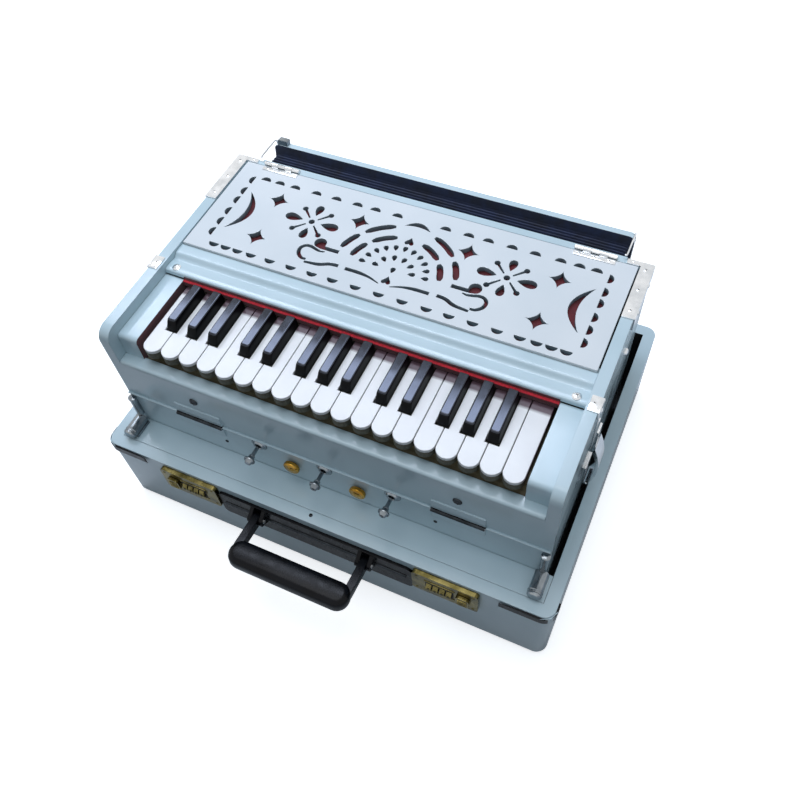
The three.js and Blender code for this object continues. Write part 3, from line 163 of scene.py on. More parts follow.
def start(name, **values):
    """A new material, its node tree, its shader and its object coordinates."""
    material = bpy.data.materials.new(name)
    material.use_nodes = True
    tree = material.node_tree
    shader = tree.nodes["Principled BSDF"]
    for socket, value in values.items():
        shader.inputs[socket.replace("_", " ")].default_value = value
    place = add(tree, "TexCoord").outputs["Object"]
    return material, tree, shader, place


def grain(tree, place, size_mm, detail=2.0):
    """A noise with features of a size in millimetres."""
    values = {"Scale": per_metre(size_mm), "Detail": detail}
    return add(tree, "TexNoise", values, {"Vector": place}).outputs["Fac"]


def drift(tree, place, low, high, size_mm, detail=3.0):
    """A colour that drifts between two tones over a given distance."""
    ramp = add(tree, "ValToRGB", None, {"Fac": grain(tree, place, size_mm, detail)})
    ramp.color_ramp.elements[0].position = 0.35
    ramp.color_ramp.elements[1].position = 0.65
    ramp.color_ramp.elements[0].color = tone(low)
    ramp.color_ramp.elements[1].color = tone(high)
    return ramp.outputs["Color"]


def marks(tree, place, low, high, size_mm):
    """A roughness that handling marks vary."""
    values = {"From Min": 0.3, "From Max": 0.7, "To Min": low, "To Max": high}
    noise = grain(tree, place, size_mm, 4.0)
    return add(tree, "MapRange", values, {"Value": noise}).outputs["Result"]


def finish_surface(tree, shader, colour, roughness=None, height=None, depth_mm=0.1, strength=0.3,
                   edge_mm=0.0):
    """Links a colour, a roughness, and a bump over softened edges to the shader."""
    tree.links.new(colour, shader.inputs["Base Color"])
    if roughness:
        tree.links.new(roughness, shader.inputs["Roughness"])
    normal = None
    if edge_mm:
        edge = add(tree, "Bevel", {"Radius": edge_mm * MM}, samples=4)
        normal = edge.outputs["Normal"]
    if height:
        values = {"Strength": strength, "Distance": depth_mm * MM}
        bump = add(tree, "Bump", values, {"Height": height})
        if normal:
            tree.links.new(normal, bump.inputs["Normal"])
        normal = bump.outputs["Normal"]
    if normal:
        tree.links.new(normal, shader.inputs["Normal"])


def gloss_laminate(name, low, high, smooth=0.09, rough=0.2):
    """Melamine laminate pressed under a polished plate: mirror-like with a faint orange peel."""
    material, tree, shader, place = start(name, IOR=1.5)
    finish_surface(tree, shader, drift(tree, place, low, high, 90), marks(tree, place, smooth, rough, 35),
                   grain(tree, place, 5.0), depth_mm=0.04, strength=0.2, edge_mm=0.9)
    return material


def key_plastic(name, low, high, foot_mm, size_mm, shine, cap_rough, paint_back_shade=False):
    """Moulded acrylic cap, buffed, on a planed wooden stick that shows below the cap's foot; the stick's wood
    is darkened to olive as painted shade, and the caps can take painted shade at their back ends.
    """
    material, tree, shader, place = start(name, IOR=1.49, Specular_IOR_Level=shine)
    spot = add(tree, "SeparateXYZ", None, {"Vector": place})
    cap = add(tree, "Math", {1: foot_mm * MM}, {0: spot.outputs["Z"]}, operation="GREATER_THAN")
    # Below the cap's foot, wood darkened to a dull olive: painted shade under the caps
    mix = add(tree, "Mix", None, {
        "Factor": cap.outputs["Value"], "A": drift(tree, place, "#45453A", "#605E50", 3.0),
        "B": drift(tree, place, low, high, size_mm)}, data_type="RGBA")
    gloss = add(tree, "MapRange", {"To Min": 0.65, "To Max": cap_rough},
                {"Value": cap.outputs["Value"]})
    colour = mix.outputs["Result"]
    if paint_back_shade:
        # Painted shade on the caps' back ends next to the felt, for the moulding's shadow and the felt's
        # reflection there
        back_shade_share = add(tree, "MapRange", {"From Min": BACK_SHADE_SPAN[0] * MM, "From Max": BACK_SHADE_SPAN[1] * MM},
                     {"Value": spot.outputs["Y"]})
        back_shade = add(tree, "Mix", {"B": tone("#5F4C54")},
                    {"Factor": back_shade_share.outputs["Result"], "A": colour}, data_type="RGBA")
        colour = back_shade.outputs["Result"]
    finish_surface(tree, shader, colour, gloss.outputs["Result"])
    return material


def polished_sharp_top():
    """Black acrylic polished by playing: the top faces mirror the window."""
    material, tree, shader, place = start("polished_acrylic_black", IOR=1.6, Specular_Tint=tone("#DDE7FF"))
    finish_surface(tree, shader, drift(tree, place, "#04060A", "#080B12", 10),
                   marks(tree, place, 0.05, 0.12, 14))
    return material


def grained_black_plastic():
    """Handle and plate of moulded ABS with a fine leather grain: satin black."""
    material, tree, shader, place = start("grained_abs_black", IOR=1.5, Specular_IOR_Level=0.15)
    cells = add(tree, "TexVoronoi", {"Scale": per_metre(1.3)}, {"Vector": place})
    finish_surface(tree, shader, drift(tree, place, "#040509", "#0A0C12", 15),
                   marks(tree, place, 0.2, 0.34, 10), cells.outputs["Distance"], strength=0.2, edge_mm=0.8)
    return material


def polished_metal(name, low, high, smooth=0.08, rough=0.2):
    """Plated or solid metal, buffed: near mirror with faint rub marks."""
    material, tree, shader, place = start(name, Metallic=1.0)
    finish_surface(tree, shader, drift(tree, place, low, high, 12),
                   marks(tree, place, smooth, rough, 6), edge_mm=0.3)
    return material


def pressed_felt(name, low, high):
    """Wool felt strip, pressed: deep red, fibrous, with no gloss."""
    material, tree, shader, place = start(name, Roughness=0.95, Sheen_Weight=0.3)
    finish_surface(tree, shader, drift(tree, place, low, high, 1.6, 5.0), None,
                   grain(tree, place, 0.8, 5.0), depth_mm=0.3, strength=0.6)
    return material


WAVE_SCALE = 20  # a wave texture of scale 1 runs through 20 radians in a metre


def woven_cloth(name, low, high, thread_mm):
    """Plain-woven cloth: crossed threads that bump the surface, drawn about six times as coarse to show."""
    material, tree, shader, place = start(name, Roughness=0.72, Sheen_Weight=0.2)
    threads = [add(tree, "TexWave", {"Scale": per_metre(thread_mm) / WAVE_SCALE, "Distortion": 0.4},
                   {"Vector": place}, bands_direction=axis).outputs["Fac"] for axis in ("X", "Y")]
    weave = add(tree, "Math", None, {0: threads[0], 1: threads[1]}, operation="MULTIPLY")
    finish_surface(tree, shader, drift(tree, place, low, high, 14), None, weave.outputs["Value"],
                   depth_mm=0.12, strength=0.4)
    return material


def planed_pine():
    """Pine, planed and left bare: straight grain along X, pale between darker late wood, its tone darkened to
    a dull olive as painted shade.
    """
    material, tree, shader, place = start("planed_pine", Roughness=0.6)
    bands, fibres = (
        add(tree, "Mapping", {"Scale": (along, 1.0, 1.0)}, {"Vector": place}).outputs["Vector"]
        for along in (0.08, 0.05))
    finish_surface(tree, shader, drift(tree, bands, "#6B634C", "#8E8468", 4.0, 5.0), None,
                   grain(tree, fibres, 1.5, 3.0))
    return material


def matt_coat(name, low, high, size_mm, roughness=0.7):
    """Brushed paint, printed ink, or a matt black for painted shade: matt, with a faint unevenness."""
    material, tree, shader, place = start(name, Roughness=roughness)
    finish_surface(tree, shader, drift(tree, place, low, high, size_mm), None, grain(tree, place, 2.0, 3.0),
                   strength=0.25)
    return material


MATERIALS = {
    "laminate": gloss_laminate("gloss_melamine_grey", "#BDD3DB", "#C8DCE4"),
    "lid": gloss_laminate("gloss_melamine_pale", "#DAE1E5", "#E3E8EB", 0.06, 0.14),
    "cut_edge": matt_coat("brushed_edge_paint", "#76858D", "#8A9AA2", 8),
    # Matt black as painted shade: the deep gap round the case in the tray, screw slots and the locks' dial
    # windows
    "shade_black": matt_coat("matt_black_painted_shade", "#0D0F12", "#16191D", 12, 0.8),
    # The white caps take painted shade at their back ends, next to the felt
    "white_key": key_plastic("moulded_acrylic_white", "#E9E9E9", "#F0F0EF", 233.6, 40, 0.35, 0.16, True),
    "black_key": key_plastic("moulded_acrylic_black", "#020305", "#05070A", 236.6, 20, 0.12, 0.3),
    "sharp_top": polished_sharp_top(),
    "black": grained_black_plastic(),
    "chrome": polished_metal("chrome_plate", "#D6DADE", "#ECEEF0"),
    # Chrome in a darker tone: painted shade for the dark surroundings that the chrome mirrors
    "shaded_chrome": polished_metal("chrome_plate_painted_shade", "#747B81", "#969DA2", 0.1, 0.22),
    "nickel": polished_metal("darkened_nickel_plate", "#25282B", "#383C40", 0.2, 0.35),
    "brass": polished_metal("polished_brass", "#A87B2C", "#C79A45", 0.14, 0.3),
    # Gold plate in a dark tone: painted shade for the dark surroundings that the plate mirrors
    "gold": polished_metal("gold_plate_painted_shade", "#554E2C", "#857A4C", 0.16, 0.32),
    "felt": pressed_felt("pressed_wool_felt", "#A01222", "#C92433"),
    # A shaded copy of the felt: painted shade on the felt's front face, the trim under the moulding's nose
    # and the cheeks' inner faces
    "shaded_felt": pressed_felt("pressed_wool_felt_shaded", "#3E0C16", "#571220"),
    "navy": woven_cloth("woven_bellows_cloth", "#101A30", "#1B2A4C", 0.9),
    "red_cloth": woven_cloth("woven_lining_cloth", "#4E0B16", "#6C1420", 0.8),
    "pine": planed_pine(),
    "ink": matt_coat("printed_ink", "#050506", "#0A0A0C", 3, 0.5),
}


# Finishes of the solids

def dress(name, material, bevel_mm):
    """Gives a solid its material, flat or softened faces and, where asked, real bevels."""
    node = nodes[name]
    mesh = node.data
    mesh.materials.clear()
    mesh.materials.append(MATERIALS[material])
    for polygon in mesh.polygons:
        polygon.use_smooth = True
        polygon.material_index = 0
    if "custom_normal" in mesh.attributes:
        mesh.attributes.remove(mesh.attributes["custom_normal"])
    weld = node.modifiers.new("weld", "WELD")
    weld.merge_threshold = 0.01 * MM
    if bevel_mm:
        bevel = node.modifiers.new("soft edges", "BEVEL")
        bevel.width = bevel_mm * MM
        bevel.segments = 3
        bevel.limit_method = "ANGLE"
        bevel.angle_limit = math.radians(40)
        bevel.harden_normals = True
        bevel.use_clamp_overlap = True
    else:
        split = node.modifiers.new("crisp edges", "EDGE_SPLIT")
        split.split_angle = math.radians(32)


def paint(name, material, test):
    """Gives another material to the faces of a solid whose middle and normal pass a test."""
    mesh = nodes[name].data
    mesh.materials.append(MATERIALS[material])
    slot = len(mesh.materials) - 1
    for polygon in mesh.polygons:
        if test(polygon.center / MM, polygon.normal):
            polygon.material_index = slot


FINISHES = {
    "laminate": ("case_tray", "deck_board", "lower_case", "upper_case", "key_slip", "front_moulding",
                 "bellows_board"),
    "lid": ("lid_board",), "pine": ("reed_board", "balance_rail", "reservoir_board"),
    "black": ("handle_plate", "carry_handle"), "navy": ("bellows_cloth", "reservoir_cloth"),
    "white_key": ("white_key",), "black_key": ("black_key",), "gold": ("combination_lock", "lock_slider"),
    "brass": ("drone_stop",), "shaded_chrome": ("air_stop", "corner_bolt"), "chrome": ("side_latch",),
}
BEVELS = {"reservoir_board": 0.3, "white_key": 0.7, "lock_slider": 0.4}
for node_name in nodes:
    for finish, starts in FINISHES.items():
        for begin in starts:
            if node_name.startswith(begin):
                dress(node_name, finish, BEVELS.get(begin, 0.0))

EDGE = 0.05
POST_INSIDE = 180.0
ROSETTES_OUTSIDE = 100.0
BEAD = (78.9, 82.1)
BEAD_HALF = 106.0


def on_catch(c):
    """Whether a point lies on the small catch at the bellows board's left end."""
    return CATCH[0] < c.x < CATCH[1] and c.z > 251 and (c.z > 254.8 or c.y < 161)


paint("case_tray", "black", lambda c, n: abs(c.x) > TRAY_HALF + EDGE or c.y < TRAY_FRONT - EDGE)
# Painted shade: the tray's inside in matt black, for the shadow in the deep gap round the case
paint("case_tray", "shade_black", lambda c, n: (
    abs(c.x) < TRAY_HALF - TRAY_WALL + EDGE and abs(c.y) < -TRAY_FRONT - TRAY_WALL + EDGE
    and 0.5 < c.z < TRAY_TOP - 0.5))
paint("deck_board", "shaded_chrome", lambda c, n: c.z > TRAY_TOP + EDGE)
paint("lower_case", "chrome", lambda c, n: abs(c.x) > CASE_HALF + EDGE and c.y > CASE_FRONT)
paint("lower_case", "shaded_chrome", lambda c, n: (
    c.y < CASE_FRONT - EDGE and (abs(c.x) < ROSETTES_OUTSIDE or abs(c.x) > POST_INSIDE)))
paint("lower_case", "nickel", lambda c, n: (
    c.y < CASE_FRONT - EDGE and CASE_TOP - 2.5 < c.z < CASE_TOP + 3 and abs(c.x) < POST_INSIDE))
paint("upper_case", "chrome", lambda c, n: abs(c.x) > CASE_HALF + EDGE or c.z > UPPER_TOP + EDGE)
paint("upper_case", "nickel", lambda c, n: c.y < CASE_FRONT - EDGE and c.z < CASE_TOP + 2.5)
paint("handle_plate", "nickel", lambda c, n: (
    c.y < PLATE_FACE - EDGE and BEAD[0] < c.z < BEAD[1] and abs(c.x) < BEAD_HALF))
paint("reed_board", "brass", lambda c, n: c.z < REED_BOARD_FOOT - EDGE)
paint("balance_rail", "brass", lambda c, n: abs(c.y - PIVOT_Y) > 5.0 + EDGE)
# The cheeks' inner faces are felt, given the shaded felt: painted shade
paint("key_slip", "shaded_felt", lambda c, n: abs(abs(c.x) - CHEEK_INSIDE) < 0.3 and abs(n.x) > 0.9)
paint("bellows_board", "navy", lambda c, n: n.y < -0.7)
paint("bellows_board", "black", lambda c, n: abs(n.x) > 0.9)
paint("bellows_board", "shaded_chrome", lambda c, n: on_catch(c))


# Shapes for new pieces, in millimetres

UP = Vector((0, 0, 1))
RIGHT = Vector((1, 0, 0))
AWAY = Vector((0, 1, 0))


def shape(name, points, faces):
    """A mesh from points in millimetres."""
    mesh = bpy.data.meshes.new(name)
    mesh.from_pydata([tuple(Vector(point) * MM) for point in points], [], faces)
    mesh.update()
    return mesh


def put(name, mesh, material, body, smooth=True, split=35, second=None):
    """Adds a piece with its material, and makes it ride on a body."""
    piece = bpy.data.objects.new(name, mesh)
    bpy.context.scene.collection.objects.link(piece)
    mesh.materials.append(MATERIALS[material])
    if second:
        mesh.materials.append(MATERIALS[second])
    for polygon in mesh.polygons:
        polygon.use_smooth = smooth
    if smooth and split:
        crisp = piece.modifiers.new("crisp edges", "EDGE_SPLIT")
        crisp.split_angle = math.radians(split)
    if body:
        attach(piece, body)
    return piece


def joined(name, parts):
    """One mesh from several, which keeps each one's material index."""
    result = bmesh.new()
    for part in parts:
        result.from_mesh(part)
    mesh = bpy.data.meshes.new(name)
    result.to_mesh(mesh)
    result.free()
    return mesh


def turned(profile, place, axis=UP, sides=32):
    """A body turned about an axis through a place, from (radius, distance) pairs."""
    turn = UP.rotation_difference(axis).to_matrix()
    points = []
    rows = []
    for radius, along in profile:
        count = sides if radius else 1
        rows.append([len(points) + side % count for side in range(sides)])
        for side in range(count):
            angle = 2 * math.pi * side / sides
            spot = Vector((radius * math.cos(angle), radius * math.sin(angle), along))
            points.append(turn @ spot + Vector(place))
    faces = []
    for row in range(len(rows) - 1):
        for side in range(sides):
            after = (side + 1) % sides
            corners = [rows[row][side], rows[row][after], rows[row + 1][after], rows[row + 1][side]]
            unique = list(dict.fromkeys(corners))
            if len(unique) > 2:
                faces.append(unique)
    return shape("turned", points, faces)


def dome(radius, height, rows=5):
    """Profile of a low dome from its rim to its top."""
    points = [(0, 0), (radius, 0)]
    for row in range(rows + 1):
        turn = math.pi / 2 * row / rows
        points.append((radius * math.cos(turn), 0.25 * height + 0.75 * height * math.sin(turn)))
    points[-1] = (0, height)
    return points


def bar(x0, x1, y0, y1, z0, z1, round_mm=0.3):
    """A block with rounded edges."""
    work = bmesh.new()
    bmesh.ops.create_cube(work, size=1)
    for vertex in work.verts:
        vertex.co.x = (x0 if vertex.co.x < 0 else x1) * MM
        vertex.co.y = (y0 if vertex.co.y < 0 else y1) * MM
        vertex.co.z = (z0 if vertex.co.z < 0 else z1) * MM
    if round_mm:
        bmesh.ops.bevel(work, geom=work.edges[:], offset=round_mm * MM, segments=2, profile=0.5,
                        affect="EDGES")
    mesh = bpy.data.meshes.new("bar")
    work.to_mesh(mesh)
    work.free()
    return mesh


def wire(name, points, radius):
    """A round wire along a line of points."""
    data = bpy.data.curves.new(name, "CURVE")
    data.dimensions = "3D"
    data.bevel_depth = radius * MM
    data.bevel_resolution = 3
    data.use_fill_caps = True
    spline = data.splines.new("POLY")
    spline.points.add(len(points) - 1)
    for spot, point in zip(spline.points, points):
        spot.co = (*(Vector(point) * MM), 1)
    return to_mesh(data)


def to_mesh(data):
    """A curve's or text's surface as a mesh."""
    holder = bpy.data.objects.new("holder", data)
    bpy.context.scene.collection.objects.link(holder)
    bpy.context.view_layer.update()
    mesh = bpy.data.meshes.new_from_object(holder.evaluated_get(bpy.context.evaluated_depsgraph_get()))
    bpy.data.objects.remove(holder)
    bpy.data.curves.remove(data)
    return mesh


def mark(mesh, index):
    """Gives all faces of a mesh the same material index."""
    for polygon in mesh.polygons:
        polygon.material_index = index
    return mesh


def screw(name, place, axis, body, radius=2.0, material="chrome", cross=True):
    """A domed screw head with a slot or cross drawn on it as a dark strip: painted shade where the cut would
    be.
    """
    head = mark(turned(dome(radius, radius * 0.45), place, axis, 20), 0)
    turn = UP.rotation_difference(axis).to_matrix()
    parts = [head]
    for spin in (0.4, 0.4 + math.pi / 2)[: 2 if cross else 1]:
        slot_shade = bar(-radius * 0.62, radius * 0.62, -radius * 0.1, radius * 0.1, 0, radius * 0.46, 0)
        for vertex in slot_shade.vertices:
            spot = Matrix.Rotation(spin, 3, "Z") @ (vertex.co / MM)
            vertex.co = (turn @ spot + Vector(place)) * MM
        parts.append(mark(slot_shade, 1))
    put(name, joined(name, parts), material, body, second="shade_black")


# Fretwork lid. Motifs are drawn about their own middle and placed by shares of the lid

def ring(points_of, steps, sweep=2 * math.pi, closed=True):
    """Points of a shape at even turns."""
    count = steps if closed else steps + 1
    return [points_of(sweep * step / steps) for step in range(count)]


def placed(points, x, y, turn=0.0):
    """Motif points turned and moved to a place."""
    across, along = math.cos(turn), math.sin(turn)
    return [(x + u * across - v * along, y + u * along + v * across) for u, v in points]


def half_moon(half, depth, steps=16):
    """Half of an ellipse over a straight chord."""
    return ring(lambda turn: (half * math.cos(turn), depth * math.sin(turn)), steps, math.pi, False)


def drop(length, width, steps=24):
    """Drop with its point at the start and its round end along X."""
    def spot(turn):
        swell = math.sin(turn / 2)
        return length * swell ** 2, width / 2 * math.sin(turn) * swell / 0.77
    return ring(spot, steps)


def star(reach, steps=40):
    """Star with four points and hollow sides."""
    return ring(lambda turn: (reach * math.cos(turn) ** 3, reach * math.sin(turn) ** 3), steps)


def crescent(half, depth, inner, steps=24):
    """Crescent between two bows over the same chord."""
    shares = [1 - 2 * step / steps for step in range(steps + 1)]
    outer = [(half * share, depth * (1 - share ** 2)) for share in shares]
    return outer + [(half * share, inner * (1 - share ** 2)) for share in reversed(shares[1:-1])]


def bent_bar(radius, start_turn, end_turn, width, steps=14):
    """Bar bent round a centre between two turns in degrees, narrower at its ends."""
    outer, inner = [], []
    for step in range(steps + 1):
        share = step / steps
        turn = math.radians(start_turn + (end_turn - start_turn) * share)
        half = width / 2 * min(1, 0.5 + 3 * min(share, 1 - share))
        outer.append(((radius + half) * math.cos(turn), (radius + half) * math.sin(turn)))
        inner.insert(0, ((radius - half) * math.cos(turn), (radius - half) * math.sin(turn)))
    return outer + inner


def ball_pin():
    """Pin with a ball at its far end, along X."""
    middle, radius, first = 21.5, 3, 0.15 * math.pi

    def spot(turn):
        return middle - radius * math.cos(first + turn), -radius * math.sin(first + turn)
    return [(6.5, -0.75), *ring(spot, 12, 1.7 * math.pi, False), (6.5, 0.75)]


def cane():
    """Bar with a ball at its far end, set off to one side."""
    radius, first, sweep = 6.5, math.radians(-70), math.radians(235)

    def spot(turn):
        return 23 + radius * math.cos(first + turn), 5 + radius * math.sin(first + turn)
    return [(0, -2.25), (19.75, -2.25), *ring(spot, 18, sweep, False), (16.5, 2.25), (0, 2.25)]


def spade():
    """Spade with a pointed head and two lobes."""
    outline = [(0, 6), (-1, 4.2), (-2.4, 2.2), (-4, 0.3), (-4.8, -1.7), (-4.2, -3.3), (-2.8, -4.1),
               (-1.2, -3.6), (0, -2.4)]
    return outline + [(-x, y) for x, y in reversed(outline[1:-1])]


def stroke(path, widths, steps=5):
    """Stroke along a smoothed path, with its own width at each point."""
    spots = []
    for place in range(len(path) - 1):
        before, here = Vector(path[max(place - 1, 0)]), Vector(path[place])
        after, beyond = Vector(path[place + 1]), Vector(path[min(place + 2, len(path) - 1)])
        for step in range(steps + (place == len(path) - 2)):
            t = step / steps
            spot = 0.5 * (2 * here + (after - before) * t
                          + (2 * before - 5 * here + 4 * after - beyond) * t ** 2
                          + (3 * here - before - 3 * after + beyond) * t ** 3)
            spots.append((spot, widths[place] + (widths[place + 1] - widths[place]) * t))
    left, right = [], []
    for place, (spot, width) in enumerate(spots):
        along = spots[min(place + 1, len(spots) - 1)][0] - spots[max(place - 1, 0)][0]
        side = Vector((-along.y, along.x)).normalized() * width / 2
        left.insert(0, tuple(spot + side))
        right.append(tuple(spot - side))
    return right + left


def lid_motifs():
    """All the openings of the lid, right half first, then its mirror image and the middle ones."""
    def across(share):
        return share * LID_HALF

    def back(share):
        return LID_FRONT + share * (LID_BACK - LID_FRONT)

    quarter = math.pi / 2
    moon = half_moon(5.75, 5.2)
    side = [placed(moon, across(s), back(0.083), math.pi)
            for s in (0.114, 0.229, 0.334, 0.443, 0.553, 0.654, 0.727, 0.791, 0.855)]
    side += [placed(moon, across(s), back(0.842))
             for s in (0.123, 0.238, 0.334, 0.448, 0.558, 0.676, 0.763, 0.841)]
    side += [placed(moon, across(0.9), back(s), -quarter) for s in (0.188, 0.308, 0.429, 0.564, 0.677, 0.812)]
    x, y = across(0.489), back(0.556)
    side.append(placed(ring(lambda turn: (3.2 * math.cos(turn), 3.2 * math.sin(turn)), 20), x, y))
    for turn in range(4):
        petal = placed(drop(20, 10.5), 10.5, 0) if turn % 2 == 0 else placed(drop(15, 8.5), 9.5, 0)
        side.append(placed(petal, x, y, turn * quarter))
        side.append(placed(ball_pin(), x, y, (turn + 0.5) * quarter))
    side += [placed(star(11), across(u), back(v)) for u, v in ((0.708, 0.677), (0.274, 0.692), (0.69, 0.256))]
    side.append(placed(crescent(28.5, 17.5, 9), across(0.868), back(0.47), quarter))
    for radius, turns in ((63.5, ((41, 70), (13, 35))), (48, ((42, 73), (9, 35)))):
        side += [placed(bent_bar(radius, first, last, 6.5), 0, back(0.293)) for first, last in turns]
    side.append(placed(cane(), across(0.279), back(0.34)))
    scroll = [(88, 17.4), (93.5, 17.8), (98.8, 22.6), (100.2, 29.2), (96.8, 34), (91, 35), (85, 33.4),
              (79.5, 32.2), (74.5, 33)]
    side.append(stroke(scroll, [2.4, 3.4, 4, 3.8, 3.6, 3.6, 3.2, 2.4, 1.4], 4))
    side.append(placed(stroke([(-19.5, -3), (-8, 1), (5, 2.8), (19.5, 2.8)], [0.8, 2.5, 4, 4]),
                       across(0.117), back(0.188)))
    side.append(placed(stroke([(-17.5, 3.6), (-8, 2.4), (2, -1.8), (17.5, -3.6)], [4, 4, 4, 2.5]),
                       across(0.322), back(0.188)))
    middle = [placed(moon, 0, back(0.083), math.pi), placed(crescent(14, 8, 2.5), 0, back(0.78))]
    middle += [placed(spade(), 0, back(share)) for share in (0.21, 0.63)]
    middle.append(placed(drop(7.5, 5), 0, back(0.293), quarter))
    for radius, count in ((34, 11), (20, 6)):
        for place in range(count):
            petal = placed(drop(7.5, 5), radius - 3.75, 0)
            middle.append(placed(petal, 0, back(0.293), math.pi * (place + 0.5) / count))
    return side + [[(-u, v) for u, v in reversed(motif)] for motif in side] + middle


def make_lid():
    """Lid board sawn from sheet, with softened edges and painted saw cuts."""
    round_mm = 0.35
    data = bpy.data.curves.new("lid", "CURVE")
    data.dimensions = "2D"
    data.fill_mode = "BOTH"
    data.extrude = (UPPER_TOP - LID_FOOT) / 2 * MM - round_mm * MM
    data.bevel_depth = round_mm * MM
    data.bevel_resolution = 2
    data.offset = -round_mm * MM
    frame_line = [(-LID_HALF, LID_FRONT), (LID_HALF, LID_FRONT), (LID_HALF, LID_BACK), (-LID_HALF, LID_BACK)]
    for line in [frame_line, *lid_motifs()]:
        spline = data.splines.new("POLY")
        spline.points.add(len(line) - 1)
        spline.use_cyclic_u = True
        for spot, (x, y) in zip(spline.points, line):
            spot.co = (x * MM, y * MM, 0, 1)
    mesh = to_mesh(data)
    middle = (UPPER_TOP + LID_FOOT) / 2 * MM
    for vertex in mesh.vertices:
        vertex.co.z += middle
    lid = put("fretwork_lid", mesh, "lid", "lid", split=30, second="cut_edge")
    for polygon in mesh.polygons:
        inside = abs(polygon.center.x) < (LID_HALF - 1) * MM and polygon.center.y > (LID_FRONT + 1) * MM
        if abs(polygon.normal.z) < 0.3 and inside and polygon.center.y < (LID_BACK - 1) * MM:
            polygon.material_index = 1
    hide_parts("lid_board")
    cloth = bar(-214, 214, 2, 123, LID_FOOT - 0.9, LID_FOOT - 0.2, 0.2)
    piece = put("lid_cloth", cloth, "red_cloth", "lid")


def headed_pin(length, radius=1.0, head=1.6, rim=0.4):
    """Profile of a pin with a low head at each end."""
    return [(0, -rim - 0.4), (head, -rim), (head, 0), (radius, 0), (radius, length), (head, length),
            (head, length + rim), (0, length + rim + 0.4)]


def make_lid_hinges():
    """Moving leaves, knuckles, screws and pins of the two hinges behind the lid."""
    y, z = LID_AXIS
    each = (LID_HINGE[1] - LID_HINGE[0]) / 5
    gap = 0.2
    for side, word in SIDES:
        left, right = sorted((side * LID_HINGE[0], side * LID_HINGE[1]))
        parts = [bar(left, right, 119, 125, 255.4, 256.7, 0.4)]
        for place in (1, 3):
            start_x = left + place * each + gap
            length = each - 2 * gap
            knuckle = [(1.1, 0), (KNUCKLE, 0), (KNUCKLE, length), (1.1, length)]
            parts.append(turned(knuckle, (start_x, y, z), RIGHT, 20))
            parts.append(bar(start_x, start_x + length, 124.5, 126.6, 255.9, 257.1, 0.2))
        put(f"lid_hinge_leaf_{word}", joined("leaf", parts), "chrome", "lid")
        pin = turned(headed_pin(right - left), (left, y, z), RIGHT, 16)
        put(f"lid_hinge_pin_{word}", pin, "chrome", "upper_section")
        for place, x in enumerate((left + 6, (left + right) / 2, right - 6)):
            screw(f"lid_hinge_screw_{word}_{place + 1}", (x, 121.6, 256.6), UP, "lid", 1.5)


def make_front_hinges():
    """Pins of the two hinges between the cases, and the strips that cover the seam between them."""
    left, right = FRONT_HINGE
    for side, word in SIDES:
        first = left if side > 0 else -right
        pin = turned(headed_pin(right - left), (first, FRONT_AXIS_Y, CASE_TOP), RIGHT, 16)
        put(f"front_hinge_pin_{word}", pin, "shaded_chrome", "case")
    clear = 0.6
    for place, (first, last) in enumerate((
            (1 - CASE_HALF, -right - clear), (clear - left, left - clear), (right + clear, CASE_HALF - 1))):
        strip = bar(first, last, CASE_FRONT - 2.6, CASE_FRONT - 0.05, CASE_TOP + 0.6, CASE_TOP + 2.0, 0.45)
        put(f"seam_strip_{place + 1}", strip, "laminate", "upper_section")


# Small fittings

def make_side_screws(side, word):
    """Screws in one half of the fronts, the cheek, the lid's corner bracket and the latch's keeper."""
    screw(f"front_board_screw_{word}", (side * 141, CASE_FRONT - HAIR, 188), -AWAY, "upper_section", 4.7,
          "nickel")
    screw(f"case_screw_{word}", (side * 118, CASE_FRONT - HAIR, 128), -AWAY, "case", 2.0, "nickel")
    x, y = side * CHEEK_SCREW[0], CHEEK_SCREW[1]
    cup = turned([(0, 0), (4.5, 0), (4.3, 0.5), (2.9, 1.3), (2.6, 1.5), (0, 1.5)], (x, y, MOULDING_LEDGE))
    put(f"cheek_cup_{word}", cup, "chrome", "upper_section")
    screw(f"cheek_screw_{word}", (x, y, MOULDING_LEDGE + 1.4), UP, "upper_section", 2.4)
    for place, y in enumerate((68, 95, 122)):
        spot = (side * BRACKET_X, y, BRACKET_TOP)
        screw(f"bracket_screw_{word}_{place + 1}", spot, UP, "upper_section", 2.2)
    screw(f"bracket_end_screw_{word}", (side * 213, 128.8, BRACKET_TOP), UP, "upper_section", 1.5)
    out = RIGHT * side
    for place, y in enumerate((76, 112)):
        screw(f"flange_screw_{word}_{place + 1}", (side * 233.4, y, 248), out, "upper_section", 2.2)
    for place, z in enumerate((226, 241)):
        screw(f"keeper_screw_{word}_{place + 1}", (side * 233.5, -36.5, z), out, "upper_section", 2.4)


